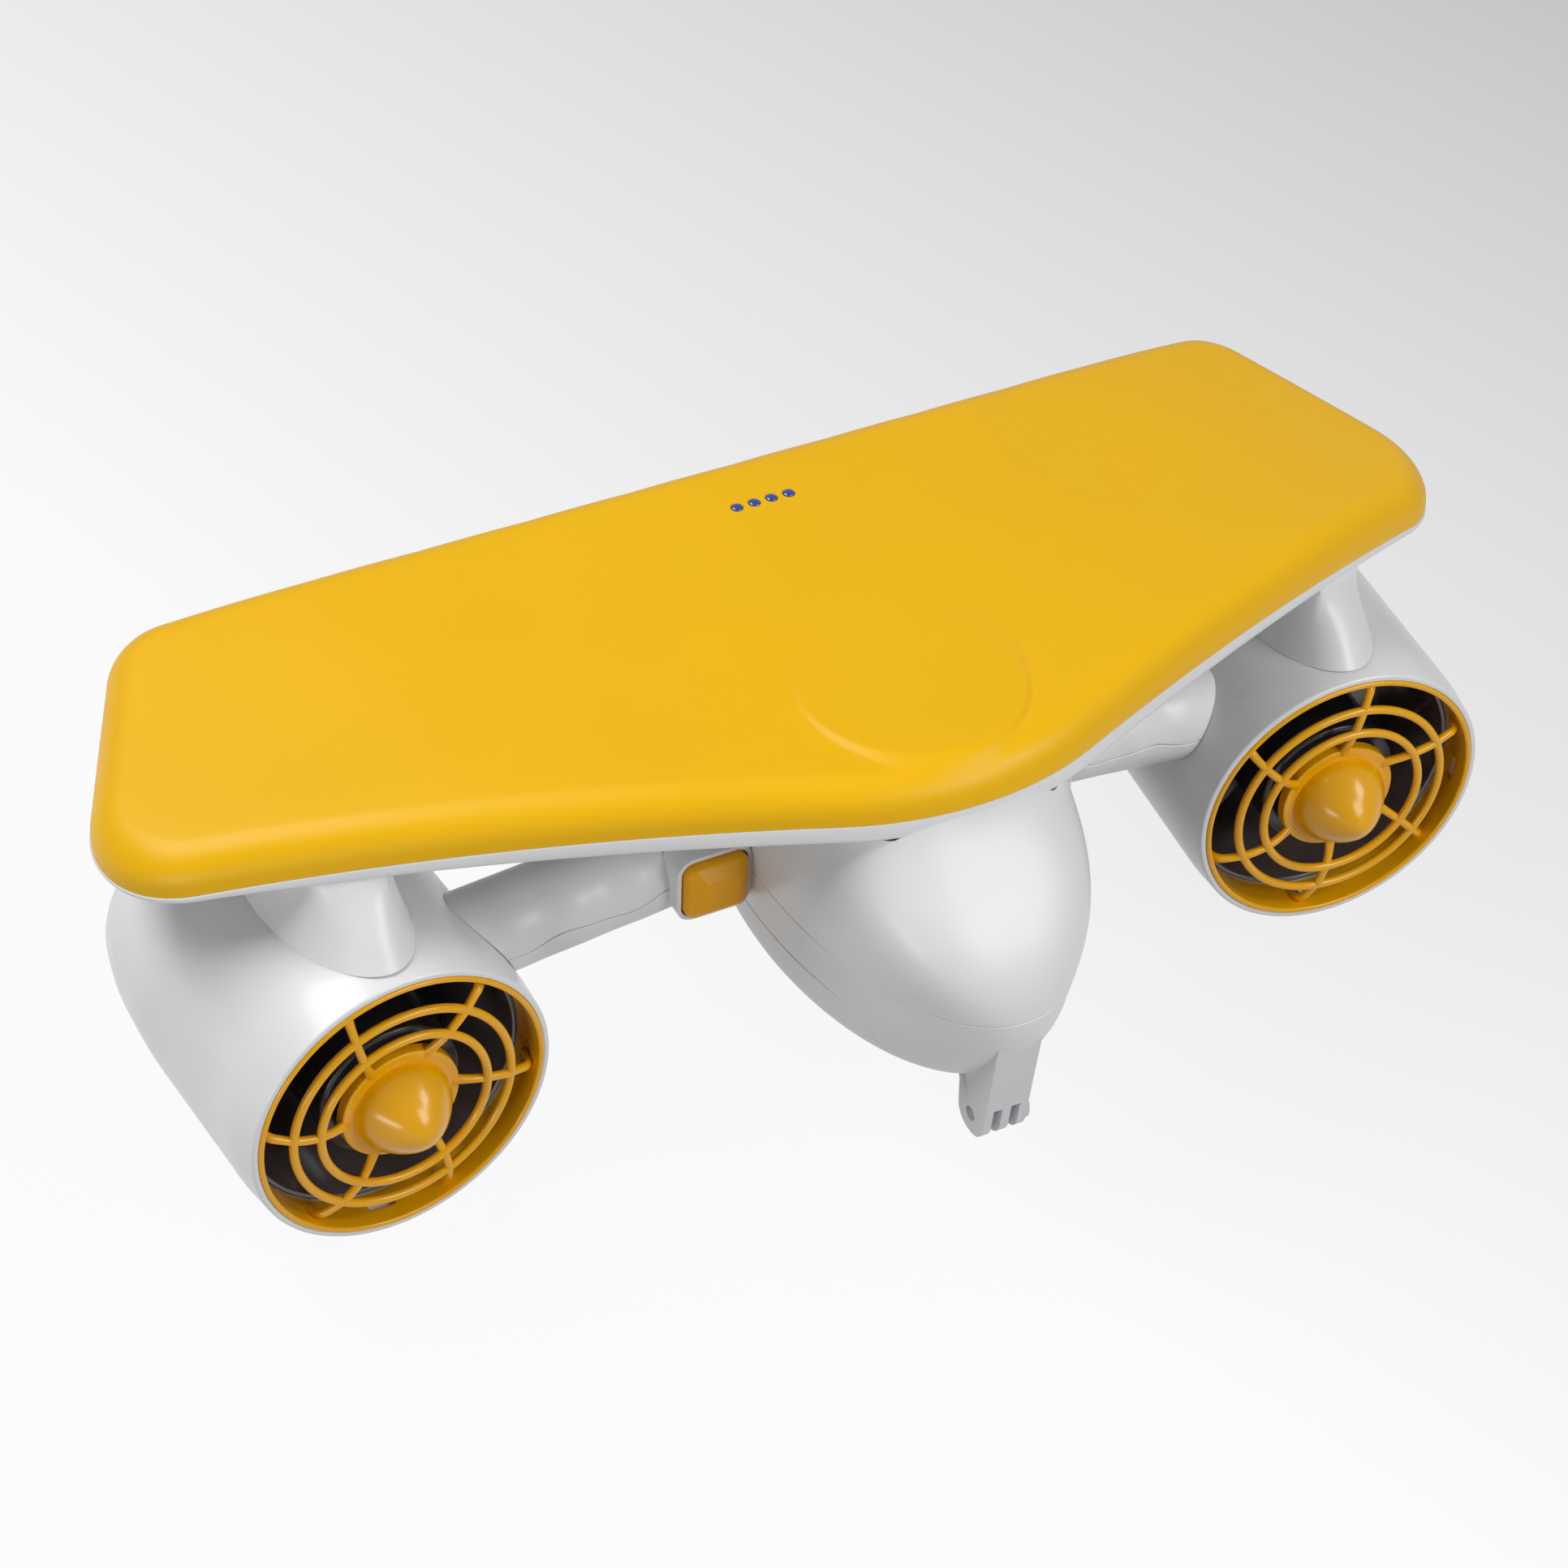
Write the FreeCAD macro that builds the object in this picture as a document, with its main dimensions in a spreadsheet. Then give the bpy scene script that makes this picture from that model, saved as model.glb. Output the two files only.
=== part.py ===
import FreeCAD, Part
import math
import os
import Sketcher

# Underwater scooter with two ducted thrusters under a curved float deck.
# Frame: X across, Y to the rear, Z up. The build datum is the middle of the line
# between the two grille rims, at the height of the thruster axes.
doc = FreeCAD.newDocument("underwater_scooter")
sizes = doc.addObject("Spreadsheet::Sheet", "Sizes")
Vector = FreeCAD.Vector
X_AXIS = Vector(1, 0, 0)
Y_AXIS = Vector(0, 1, 0)
Z_AXIS = Vector(0, 0, 1)
SIDES = {"left": -1, "right": 1}

sheet_row = 0


def size(alias, value):
    """Write one driving dimension, in millimetres or degrees, to the sheet."""
    global sheet_row
    sheet_row += 1
    cell = "A%d" % sheet_row
    sizes.set(cell, str(value))
    sizes.setAlias(cell, alias)


# Deck outline seen from above
size("front_apex_y", -55.5)
size("front_apex_radius", 100.0)
size("front_corner_x", 244.6)
size("front_corner_y", 57.0)
size("front_corner_radius", 34.0)
size("rear_corner_x", 198.8)
size("rear_corner_y", 151.8)
size("rear_corner_radius", 20.0)
size("rear_apex_y", 112.0)
size("rear_apex_radius", 700.0)

# Deck section: cover above the seam, tray below it
size("seam_height", 95.4)
size("seam_radius", 836.0)
size("cover_rise", 12.6)
size("cover_edge_radius", 10.5)
size("cover_wall", 2.6)
size("tray_depth", 7.0)
size("tray_under_radius", 971.0)
size("tray_opening_width", 56.0)
size("tray_opening_length", 96.0)
size("tray_opening_y", 15.0)
size("tray_floor", 2.6)
size("tray_rim", 6.0)
size("tray_edge_radius", 2.0)
size("boss_radius", 4.0)
size("step_radius", 34.4)
size("step_tilt", 1.6)
size("step_flank", 7.0)
size("step_sill", 0.15)
size("seat_gap", 0.05)

# Thrusters
size("thruster_spacing", 334.3)
size("toe_angle", 5.11)
size("nacelle_radius", 51.8)
size("nacelle_lip_radius", 50.6)
size("nacelle_length", 111.0)
size("nacelle_barrel_end", 74.0)
size("nacelle_tail_radius", 45.6)
size("exhaust_radius", 42.0)
size("collar_radius", 48.65)
size("collar_bore_radius", 46.7)
size("collar_depth", 13.0)
size("liner_bore_radius", 45.2)
size("liner_wall", 1.6)
size("liner_end", 95.7)
size("exhaust_start", 101.0)

# Grille
size("grille_ring_radius", 37.0)
size("grille_inner_ring_radius", 28.3)
size("grille_bar", 1.45)
size("grille_hub_radius", 20.2)
size("nose_radius", 16.2)
size("nose_reach", 17.0)
size("grille_hub_back", 5.0)
size("hub_hollow_radius", 10.0)
size("spoke_phase_right", 30.0)
size("window_phase", 6.5)
size("window_depth", 7.6)
size("window_width", 9.0)
size("window_length", 4.4)

# Propeller, motor and shaft, by depth behind the rim
size("prop_front", 8.0)
size("prop_back", 60.0)
size("prop_hub_radius", 24.0)
size("prop_wall", 2.2)
size("blade_tip_radius", 44.4)
size("blade_middle", 48.0)
size("blade_chord", 30.0)
size("blade_thickness", 3.0)
size("blade_pitch", 38.0)
size("bell_wall", 1.5)
size("bell_back", 50.0)
size("insulator_inner", 11.8)
size("insulator_outer", 16.0)
size("insulator_depth", 2.8)
size("magnet_thickness", 1.6)
size("magnet_front", 19.0)
size("magnet_length", 28.0)
size("air_gap", 0.5)
size("stator_length", 24.0)
size("carrier_radius", 8.2)
size("shaft_radius", 3.0)
size("shaft_clearance", 0.05)
size("bearing_radius", 6.5)
size("bearing_width", 5.0)
size("mount_front", 62.0)
size("mount_back", 88.0)
size("mount_hub_radius", 23.6)
size("carrier_front", 18.5)
size("tail_tip", 100.0)
size("vane_thickness", 2.4)
size("vane_length", 24.0)
size("guard_depth", 104.5)

# Pylons
size("pylon_nose", 5.5)
size("pylon_length", 92.0)
size("pylon_width", 40.0)
size("pylon_top_nose", 17.0)
size("pylon_top_length", 80.0)
size("pylon_top_width", 33.0)

# Pod below the deck: ellipses at five heights
size("pod_middle_y", 14.0)
size("pod_bottom", -1.8)
size("pod_bottom_nose", 76.0)
size("pod_bottom_half", 38.0)
size("pod_low", 14.0)
size("pod_low_nose", 87.0)
size("pod_low_half", 42.6)
size("pod_seam", 38.0)
size("pod_seam_nose", 95.0)
size("pod_seam_half", 44.3)
size("pod_high", 64.0)
size("pod_high_nose", 83.0)
size("pod_high_half", 44.3)
size("pod_top", 97.0)
size("pod_top_nose", 55.5)
size("pod_top_half", 37.0)
size("pod_wall", 2.8)
size("pod_bottom_radius", 10.0)
size("rib_thickness", 6.0)
size("rib_top", 36.0)
size("hatch_seam", 21.0)
size("hatch_front_y", -49.0)
size("hatch_radius", 24.0)

# Camera mount
size("mount_width", 15.0)
size("mount_slot", 3.1)
size("mount_finger", 3.0)
size("mount_bore_radius", 2.6)
size("mount_bore_y", -65.4)
size("mount_bore_z", -11.6)
size("mount_end_radius", 7.0)
size("mount_front_y", -78.0)
size("mount_nut_flats", 8.0)
size("mount_nut_height", 3.2)
size("mount_nut_bore", 2.1)

# Handles and triggers
size("handle_radius", 15.6)
size("handle_x", 80.0)
size("handle_y", 33.0)
size("handle_z", 33.0)
size("handle_wall", 2.4)
size("handle_reach", 60.0)
size("handle_droop", 6.0)
size("trigger_x", 57.0)
size("trigger_z", 37.5)
size("trigger_width", 22.0)
size("trigger_height", 21.0)
size("trigger_front_y", 7.5)
size("trigger_depth", 15.5)
size("trigger_edge_radius", 4.0)
size("trigger_travel", 4.5)
size("slide_gap", 0.35)
size("bezel_wall", 1.4)
size("bezel_front_y", 13.5)
size("bezel_depth", 10.5)
size("spring_radius", 3.2)
size("spring_wire", 0.5)
size("spring_length", 7.5)
size("sensor_y", 38.0)
size("cup_radius", 3.9)
size("magnet_radius", 2.5)

# Battery and electronics
size("battery_width", 50.0)
size("battery_length", 96.0)
size("battery_corner", 12.0)
size("battery_height", 50.0)
size("battery_y", 15.0)
size("board_thickness", 1.6)
size("board_height", 98.5)
size("lens_radius", 2.0)
size("lens_pitch", 6.05)
size("lens_y", 98.2)
size("screw_radius", 1.4)
size("screw_head_radius", 2.8)
size("screw_head_height", 2.0)
size("screw_length", 11.0)

# Place of the build datum in the part's own frame
size("datum_y", -34.0)

doc.recompute()


def value(expression):
    """Work out an expression on the sheet's aliases."""
    return float(sizes.evalExpression(expression))


def s(alias):
    """Short form for one alias in an expression."""
    return "Sizes." + alias


def bind(target, path, expression):
    target.setExpression(path, str(expression))


def make(kind, name, **properties):
    """Add a feature; text values are bound as expressions, the rest are set."""
    feature = doc.addObject(kind, name)
    for key, item in properties.items():
        if isinstance(item, str):
            bind(feature, key, item)
        else:
            setattr(feature, key, item)
    return feature


def place(feature, x="0", y="0", z="0", axis=Z_AXIS, angle="0"):
    """Bind a feature's Placement to expressions."""
    turn = value(angle)
    feature.Placement = FreeCAD.Placement(Vector(value(x), value(y), value(z)), FreeCAD.Rotation(axis, turn))
    bind(feature, ".Placement.Base.x", x)
    bind(feature, ".Placement.Base.y", y)
    bind(feature, ".Placement.Base.z", z)
    if turn:
        bind(feature, ".Placement.Rotation.Angle", angle)
    return feature


DATUM_Y = s("datum_y")
DATUM_Z = s("nacelle_radius")


def at_datum(feature):
    """Move a piece drawn from the build datum into the part's own frame."""
    return place(feature, "0", DATUM_Y, DATUM_Z)


def toed(feature, side, y="0", z="0"):
    """Place a piece drawn about a thruster's axis: rim centre, turned by the toe."""
    x = "%d * Sizes.thruster_spacing / 2" % SIDES[side]
    return place(feature, x, y, z, Vector(0, 0, -SIDES[side]), s("toe_angle"))


def at_thruster(feature, side):
    """Move a piece drawn about a thruster's axis into the part's own frame."""
    return toed(feature, side, DATUM_Y, DATUM_Z)


def new_body(name):
    body = doc.addObject("PartDesign::Body", name)
    body.AllowCompound = True
    return body


def new_sketch(body, name, plane, offset="0", turn="0"):
    """Sketch on one of the body's own planes, lifted and turned by expressions."""
    sketch = body.newObject("Sketcher::SketchObject", name)
    support = [f for f in body.Origin.OriginFeatures if f.Role == plane][0]
    sketch.AttachmentSupport = [(support, "")]
    sketch.MapMode = "FlatFace"
    rotation = FreeCAD.Rotation(Z_AXIS, value(turn))
    sketch.AttachmentOffset = FreeCAD.Placement(Vector(0, 0, value(offset)), rotation)
    if offset != "0":
        bind(sketch, ".AttachmentOffset.Base.z", offset)
    if turn != "0":
        bind(sketch, ".AttachmentOffset.Rotation.Angle", turn)
    return sketch


def corner_point(sketch, name, index, end, x, y):
    """Tie one point of the sketch to the origin by two named sizes."""
    for kind, text in (("DistanceX", x), ("DistanceY", y)):
        number = sketch.addConstraint(Sketcher.Constraint(kind, -1, 1, index, end, value(text)))
        sketch.renameConstraint(number, "%s_%s" % (name, kind[-1].lower()))
        sketch.setExpression("Constraints.%s_%s" % (name, kind[-1].lower()), text)


def outline(sketch, corners, prefix="p", closed=True):
    """Outline or open path. Each corner is (x, y) or (x, y, radius), all expressions.

    A corner with a radius is an arc tangent to both of its lines, and the sharp
    corner stays in the sketch as a point, which carries the sizes.
    """
    points = [Vector(value(c[0]), value(c[1]), 0) for c in corners]
    count = len(points)
    ends = []
    for i, corner in enumerate(corners):
        before = (points[i - 1] - points[i]).normalize()
        after = (points[(i + 1) % count] - points[i]).normalize()
        if len(corner) == 2:
            ends.append((points[i], points[i], None))
            continue
        radius = value(corner[2])
        half = before.getAngle(after) / 2
        run = radius / math.tan(half)
        middle = points[i] + (before + after).normalize() * (radius / math.sin(half))
        ends.append((points[i] + before * run, points[i] + after * run, middle))
    lines = []
    for i in range(count if closed else count - 1):
        start = ends[i][1]
        stop = ends[(i + 1) % count][0]
        lines.append(sketch.addGeometry(Part.LineSegment(start, stop), False))
    for i, corner in enumerate(corners):
        name = "%s%d" % (prefix, i)
        if not closed and i in (0, count - 1):
            line, end = (lines[0], 1) if i == 0 else (lines[-1], 2)
            corner_point(sketch, name, line, end, corner[0], corner[1])
            continue
        last = lines[i - 1]
        following = lines[i]
        if len(corner) == 2:
            sketch.addConstraint(Sketcher.Constraint("Coincident", last, 2, following, 1))
            corner_point(sketch, name, following, 1, corner[0], corner[1])
            continue
        first, second, middle = ends[i]
        toward = (points[i] - middle).normalize() * value(corner[2])
        bow = Part.Arc(first, middle + toward, second)
        turned = (first - middle).cross(second - middle).z < 0
        arc = sketch.addGeometry(bow, False)
        near, far = (2, 1) if turned else (1, 2)
        sketch.addConstraint(Sketcher.Constraint("Tangent", last, 2, arc, near))
        sketch.addConstraint(Sketcher.Constraint("Tangent", following, 1, arc, far))
        number = sketch.addConstraint(Sketcher.Constraint("Radius", arc, value(corner[2])))
        sketch.renameConstraint(number, name + "_radius")
        sketch.setExpression("Constraints.%s_radius" % name, corner[2])
        point = sketch.addGeometry(Part.Point(points[i]), True)
        sketch.addConstraint(Sketcher.Constraint("PointOnObject", point, 1, last))
        sketch.addConstraint(Sketcher.Constraint("PointOnObject", point, 1, following))
        corner_point(sketch, name, point, 1, corner[0], corner[1])
    return sketch


def inset_outline(sketch, corners, inset):
    """The same outline drawn smaller by an even margin, all corners rounded.

    The outer outline's sharp corners are construction lines; each inner line is
    parallel to one of them at the margin.
    """
    margin = value(inset)
    points = [Vector(value(c[0]), value(c[1]), 0) for c in corners]
    count = len(points)
    area = sum(points[i - 1].cross(points[i]).z for i in range(count))
    inward = 1 if area > 0 else -1
    guides = []
    for i in range(count):
        guides.append(sketch.addGeometry(Part.LineSegment(points[i], points[(i + 1) % count]), True))
    for i, corner in enumerate(corners):
        sketch.addConstraint(Sketcher.Constraint("Coincident", guides[i - 1], 2, guides[i], 1))
        corner_point(sketch, "g%d" % i, guides[i], 1, corner[0], corner[1])
    ends = []
    for i, corner in enumerate(corners):
        before = (points[i - 1] - points[i]).normalize()
        after = (points[(i + 1) % count] - points[i]).normalize()
        convex = before.cross(after).z * inward < 0
        radius = "%s %s %s" % (corner[2], "-" if convex else "+", inset)
        half = before.getAngle(after) / 2
        bisector = (before + after).normalize() * (1 if convex else -1)
        sharp = points[i] + bisector * (margin / math.sin(half))
        run = value(radius) / math.tan(half)
        middle = sharp + (before + after).normalize() * (value(radius) / math.sin(half))
        ends.append((sharp + before * run, sharp + after * run, middle, sharp, radius))
    lines = []
    for i in range(count):
        start = ends[i][1]
        stop = ends[(i + 1) % count][0]
        lines.append(sketch.addGeometry(Part.LineSegment(start, stop), False))
        sketch.addConstraint(Sketcher.Constraint("Parallel", lines[i], guides[i]))
        number = sketch.addConstraint(Sketcher.Constraint("Distance", lines[i], 1, guides[i], margin))
        sketch.renameConstraint(number, "margin%d" % i)
        sketch.setExpression("Constraints.margin%d" % i, inset)
    for i in range(count):
        first, second, middle, sharp, radius = ends[i]
        toward = (sharp - middle).normalize() * value(radius)
        arc = sketch.addGeometry(Part.Arc(first, middle + toward, second), False)
        turned = (first - middle).cross(second - middle).z < 0
        near, far = (2, 1) if turned else (1, 2)
        sketch.addConstraint(Sketcher.Constraint("Tangent", lines[i - 1], 2, arc, near))
        sketch.addConstraint(Sketcher.Constraint("Tangent", lines[i], 1, arc, far))
        number = sketch.addConstraint(Sketcher.Constraint("Radius", arc, value(radius)))
        sketch.renameConstraint(number, "bend%d" % i)
        sketch.setExpression("Constraints.bend%d" % i, radius)
    return sketch


def circle(sketch, radius, x="0", y="0", prefix="c"):
    """Circle whose radius and centre are expressions."""
    shape = Part.Circle(Vector(value(x), value(y), 0), Z_AXIS, value(radius))
    index = sketch.addGeometry(shape, False)
    number = sketch.addConstraint(Sketcher.Constraint("Radius", index, value(radius)))
    sketch.renameConstraint(number, prefix + "_radius")
    sketch.setExpression("Constraints.%s_radius" % prefix, radius)
    corner_point(sketch, prefix, index, 3, x, y)
    return sketch


def box_outline(sketch, x0, x1, y0, y1, prefix="b"):
    return outline(sketch, [(x0, y0), (x1, y0), (x1, y1), (x0, y1)], prefix)


def add(body, kind, name, **properties):
    """Add a PartDesign feature; text values are bound as expressions."""
    feature = body.newObject(kind, name)
    for key, item in properties.items():
        if isinstance(item, str) and key not in ("Type", "SideType"):
            bind(feature, key, item)
        else:
            setattr(feature, key, item)
    return feature


def pad(body, name, sketch, length, **more):
    sketch.Visibility = False
    return add(body, "PartDesign::Pad", name, Profile=sketch, Length=length, **more)


def through(body, name, sketch):
    """Pocket right through the body, to both sides of the sketch."""
    return add(body, "PartDesign::Pocket", name, Profile=sketch, Type="ThroughAll", Midplane=True)


def revolve(body, name, sketch, kind="PartDesign::Revolution"):
    """Turn a (radius, depth) profile on the XY plane about the body's Y axis."""
    feature = body.newObject(kind, name)
    feature.Profile = sketch
    feature.ReferenceAxis = (sketch, ["V_Axis"])
    feature.Angle = 360
    return feature


def turned(name, profile):
    """Body of revolution about its Y axis from a (radius, depth) profile."""
    body = new_body(name)
    sketch = outline(new_sketch(body, name + "_profile", "XY_Plane"), profile)
    revolve(body, name + "_turned", sketch)
    return body


def bar_block(body, name, x0, x1, y0, y1, thickness, kind="PartDesign::Pad"):
    """Flat block through the body's Y axis plane, its thickness split both ways."""
    sketch = box_outline(new_sketch(body, name + "_side", "XY_Plane"), x0, x1, y0, y1)
    return add(body, kind, name, Profile=sketch, Length=thickness, Midplane=True)


def polar(body, name, feature, count):
    """Repeat a feature about the body's Y axis."""
    pattern = body.newObject("PartDesign::PolarPattern", name)
    pattern.Originals = [feature]
    axis = [f for f in body.Origin.OriginFeatures if f.Role == "Y_Axis"][0]
    pattern.Axis = (axis, [""])
    pattern.Angle = 360
    pattern.Occurrences = count
    body.Tip = pattern
    return pattern


def ellipse(name, half_width, nose, y, z):
    """Level ellipse, given by its half width and its reach along Y."""
    curve = make("Part::Ellipse", name, MajorRadius=nose, MinorRadius=half_width)
    return place(curve, "0", y, z, Z_AXIS, "90")


def loft(name, sections, ruled=False):
    feature = doc.addObject("Part::Loft", name)
    feature.Sections = sections
    feature.Solid = True
    feature.Ruled = ruled
    return feature


def cut(name, base, tool):
    feature = doc.addObject("Part::Cut", name)
    feature.Base = base
    feature.Tool = tool
    feature.Refine = False
    return feature


def common(name, shapes):
    feature = doc.addObject("Part::MultiCommon", name)
    feature.Shapes = shapes
    feature.Refine = False
    return feature


def fuse(name, shapes):
    feature = doc.addObject("Part::MultiFuse", name)
    feature.Shapes = shapes
    feature.Refine = False
    return feature


def group(name, shapes):
    feature = doc.addObject("Part::Compound", name)
    feature.Links = shapes
    return feature


def cylinder(name, radius, length, x="0", y="0", z="0"):
    """Upright cylinder standing on a point."""
    return place(make("Part::Cylinder", name, Radius=radius, Height=length), x, y, z)


def slab(name, x0, x1, y0, y1, z0, z1):
    """Square block between two values on each axis."""
    lengths = ["(%s) - (%s)" % pair for pair in ((x1, x0), (y1, y0), (z1, z0))]
    block = make("Part::Box", name, Length=lengths[0], Width=lengths[1], Height=lengths[2])
    return place(block, x0, y0, z0)


def rounded_box(name, width, height, depth, radius):
    """Block with rounded long edges, running to the rear from its front face."""
    body = new_body(name)
    sketch = new_sketch(body, name + "_face", "XZ_Plane")
    half_x, half_z = "(%s) / 2" % width, "(%s) / 2" % height
    outline(sketch, [("-" + half_x, "-" + half_z, radius), (half_x, "-" + half_z, radius),
                     (half_x, half_z, radius), ("-" + half_x, half_z, radius)])
    pad(body, name + "_block", sketch, depth, Reversed=True)
    return body


def hex_ring(name, flats, height, bore, axis, x="0", y="0", z="0"):
    """Hexagonal nut along an axis, drilled through."""
    corner_radius = "(%s) / sqrt(3)" % flats
    prism = make("Part::Prism", name + "_hex", Polygon=6, Circumradius=corner_radius, Height=height)
    hole = make("Part::Cylinder", name + "_hole", Radius=bore, Height=height)
    ring = cut(name + "_ring", prism, hole)
    return place(ring, x, y, z, axis, "90")


nodes = []


def keep(feature, name):
    """Name a finished sub-part and list it for export."""
    feature.Label = name
    feature.Visibility = True
    nodes.append(feature)
    return feature


# Float deck: one outline for the cover, the tray and the seal between them
DECK_OUTLINE = [
    ("0", s("front_apex_y"), s("front_apex_radius")),
    (s("front_corner_x"), s("front_corner_y"), s("front_corner_radius")),
    (s("rear_corner_x"), s("rear_corner_y"), s("rear_corner_radius")),
    ("0", s("rear_apex_y"), s("rear_apex_radius")),
    ("-" + s("rear_corner_x"), s("rear_corner_y"), s("rear_corner_radius")),
    ("-" + s("front_corner_x"), s("front_corner_y"), s("front_corner_radius")),
]
REACH = "Sizes.front_corner_x + 20"
DECK_TALL = "Sizes.seam_height + 60"


def arch_cut(body, name, height, radius, above):
    """Cut away what lies above or below an arch that runs from front to rear."""
    sketch = new_sketch(body, name + "_line", "XZ_Plane")
    centre_height = "(%s) - (%s)" % (height, radius)
    drop = value("%s + sqrt((%s) ^ 2 - (%s) ^ 2)" % (centre_height, radius, REACH))
    crown = value(height)
    reach = value(REACH)
    far = DECK_TALL if above else "-60"
    bow = Part.Arc(Vector(-reach, drop, 0), Vector(0, crown, 0), Vector(reach, drop, 0))
    arc = sketch.addGeometry(bow, False)
    sketch.addConstraint(Sketcher.Constraint("PointOnObject", arc, 3, -2))
    number = sketch.addConstraint(Sketcher.Constraint("Radius", arc, value(radius)))
    sketch.renameConstraint(number, "bow")
    sketch.setExpression("Constraints.bow", radius)
    level = value(centre_height)
    number = sketch.addConstraint(Sketcher.Constraint("DistanceY", -1, 1, arc, 3, level))
    sketch.renameConstraint(number, "level")
    sketch.setExpression("Constraints.level", centre_height)
    corners = [Vector(-reach, drop, 0), Vector(-reach, value(far), 0)]
    corners += [Vector(reach, value(far), 0), Vector(reach, drop, 0)]
    lines = [sketch.addGeometry(Part.LineSegment(corners[i], corners[i + 1]), False) for i in range(3)]
    left_end, right_end = (2, 1)
    sketch.addConstraint(Sketcher.Constraint("Coincident", lines[0], 1, arc, left_end))
    sketch.addConstraint(Sketcher.Constraint("Coincident", lines[0], 2, lines[1], 1))
    sketch.addConstraint(Sketcher.Constraint("Coincident", lines[1], 2, lines[2], 1))
    sketch.addConstraint(Sketcher.Constraint("Coincident", lines[2], 2, arc, right_end))
    sketch.addConstraint(Sketcher.Constraint("Vertical", lines[0]))
    sketch.addConstraint(Sketcher.Constraint("Vertical", lines[2]))
    corner_point(sketch, "left", lines[1], 1, "-(%s)" % REACH, far)
    corner_point(sketch, "right", lines[1], 2, REACH, far)
    return through(body, name, sketch)


def deck_block(name, low, low_radius, high, high_radius, inset=None):
    """Block of the deck's outline, or of one inset from it, between two arches."""
    body = new_body(name)
    sketch = new_sketch(body, name + "_outline", "XY_Plane")
    if inset:
        inset_outline(sketch, DECK_OUTLINE, inset)
    else:
        outline(sketch, DECK_OUTLINE)
    pad(body, name + "_block", sketch, DECK_TALL)
    arch_cut(body, name + "_over", high, high_radius, True)
    arch_cut(body, name + "_under", low, low_radius, False)
    return body


def arch_height(crown, radius, x):
    """Height of an arch at a distance from the middle plane, as an expression."""
    return "(%s) - (%s) + sqrt((%s) ^ 2 - (%s) ^ 2)" % (crown, radius, radius, x)


def flattest_face(shape, upward):
    """Number of the large arched face that looks up or down."""
    best, best_area = 0, 0.0
    for number, face in enumerate(shape.Faces, 1):
        u0, u1, v0, v1 = face.ParameterRange
        normal = face.normalAt((u0 + u1) / 2, (v0 + v1) / 2)
        if (normal.z > 0) == upward and face.Area > best_area and abs(normal.z) > 0.7:
            best, best_area = number, face.Area
    return best


def rim_edges(shape, face_number):
    """Names of the edges round one face."""
    face = shape.Faces[face_number - 1]
    names = []
    for number, edge in enumerate(shape.Edges, 1):
        if any(edge.isSame(other) for other in face.Edges):
            names.append("Edge%d" % number)
    return names


def round_rim(body, name, radius, upward):
    """Round the edge all round a body's arched top or bottom."""
    doc.recompute()
    shape = body.Shape
    base = body.Tip
    edges = rim_edges(shape, flattest_face(shape, upward))
    fillet = body.newObject("PartDesign::Fillet", name)
    fillet.Base = (base, edges)
    bind(fillet, "Radius", radius)
    body.Tip = fillet
    doc.recompute()
    return fillet


# Arches of the deck: seam, top of the cover, underside and floor of the tray
SEAM = (s("seam_height"), s("seam_radius"))
COVER_TOP = ("Sizes.seam_height + Sizes.cover_rise", "Sizes.seam_radius + Sizes.cover_rise")
COVER_UNDER = (COVER_TOP[0] + " - Sizes.cover_wall", COVER_TOP[1] + " - Sizes.cover_wall")
TRAY_TOP = ("Sizes.seam_height - Sizes.seat_gap", "Sizes.seam_radius - Sizes.seat_gap")
TRAY_UNDER = ("Sizes.seam_height - Sizes.tray_depth", s("tray_under_radius"))
TRAY_FLOOR = (TRAY_UNDER[0] + " + Sizes.tray_floor", TRAY_UNDER[1] + " + Sizes.tray_floor")

# Screws that clamp tray and cover: (distance from the middle plane, y)
DECK_SCREWS = [("95", "8"), ("205", "88"), ("150", "126"), ("55", "110")]
DECK_SCREW_POINTS = [(sign + x, y) for x, y in DECK_SCREWS for sign in ("", "-")]
SCREW_HOLE = "Sizes.screw_radius + Sizes.seat_gap"

# Yellow cover: a rounded shell, open along the seam, with screw bosses inside
cover_form = deck_block("cover_form", SEAM[0], SEAM[1], COVER_TOP[0], COVER_TOP[1])
round_rim(cover_form, "cover_edge", s("cover_edge_radius"), True)
cover_hollow = deck_block("cover_hollow", SEAM[0] + " - 1", SEAM[1] + " - 1",
                          COVER_UNDER[0], COVER_UNDER[1], s("cover_wall"))
round_rim(cover_hollow, "hollow_edge", "Sizes.cover_edge_radius - Sizes.cover_wall", True)
cover_shell = cut("cover_shell", cover_form, cover_hollow)
STEP_RISE = "Sizes.step_radius * sin(Sizes.step_tilt)"
STEP_DEPTH = "(%s + 0.6 * Sizes.cover_wall)" % STEP_RISE
thumb_step = make("Part::Cone", "thumb_step", Radius2=s("step_radius"), Height=STEP_DEPTH,
                  Radius1="Sizes.step_radius + Sizes.step_flank * %s / (2 * %s)" % (STEP_DEPTH, STEP_RISE))
place(thumb_step, "0", "0", COVER_TOP[0] + " + Sizes.step_sill - 0.6 * Sizes.cover_wall",
      Vector(-1, 0, 0), s("step_tilt"))
bosses = []
pilots = []
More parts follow.
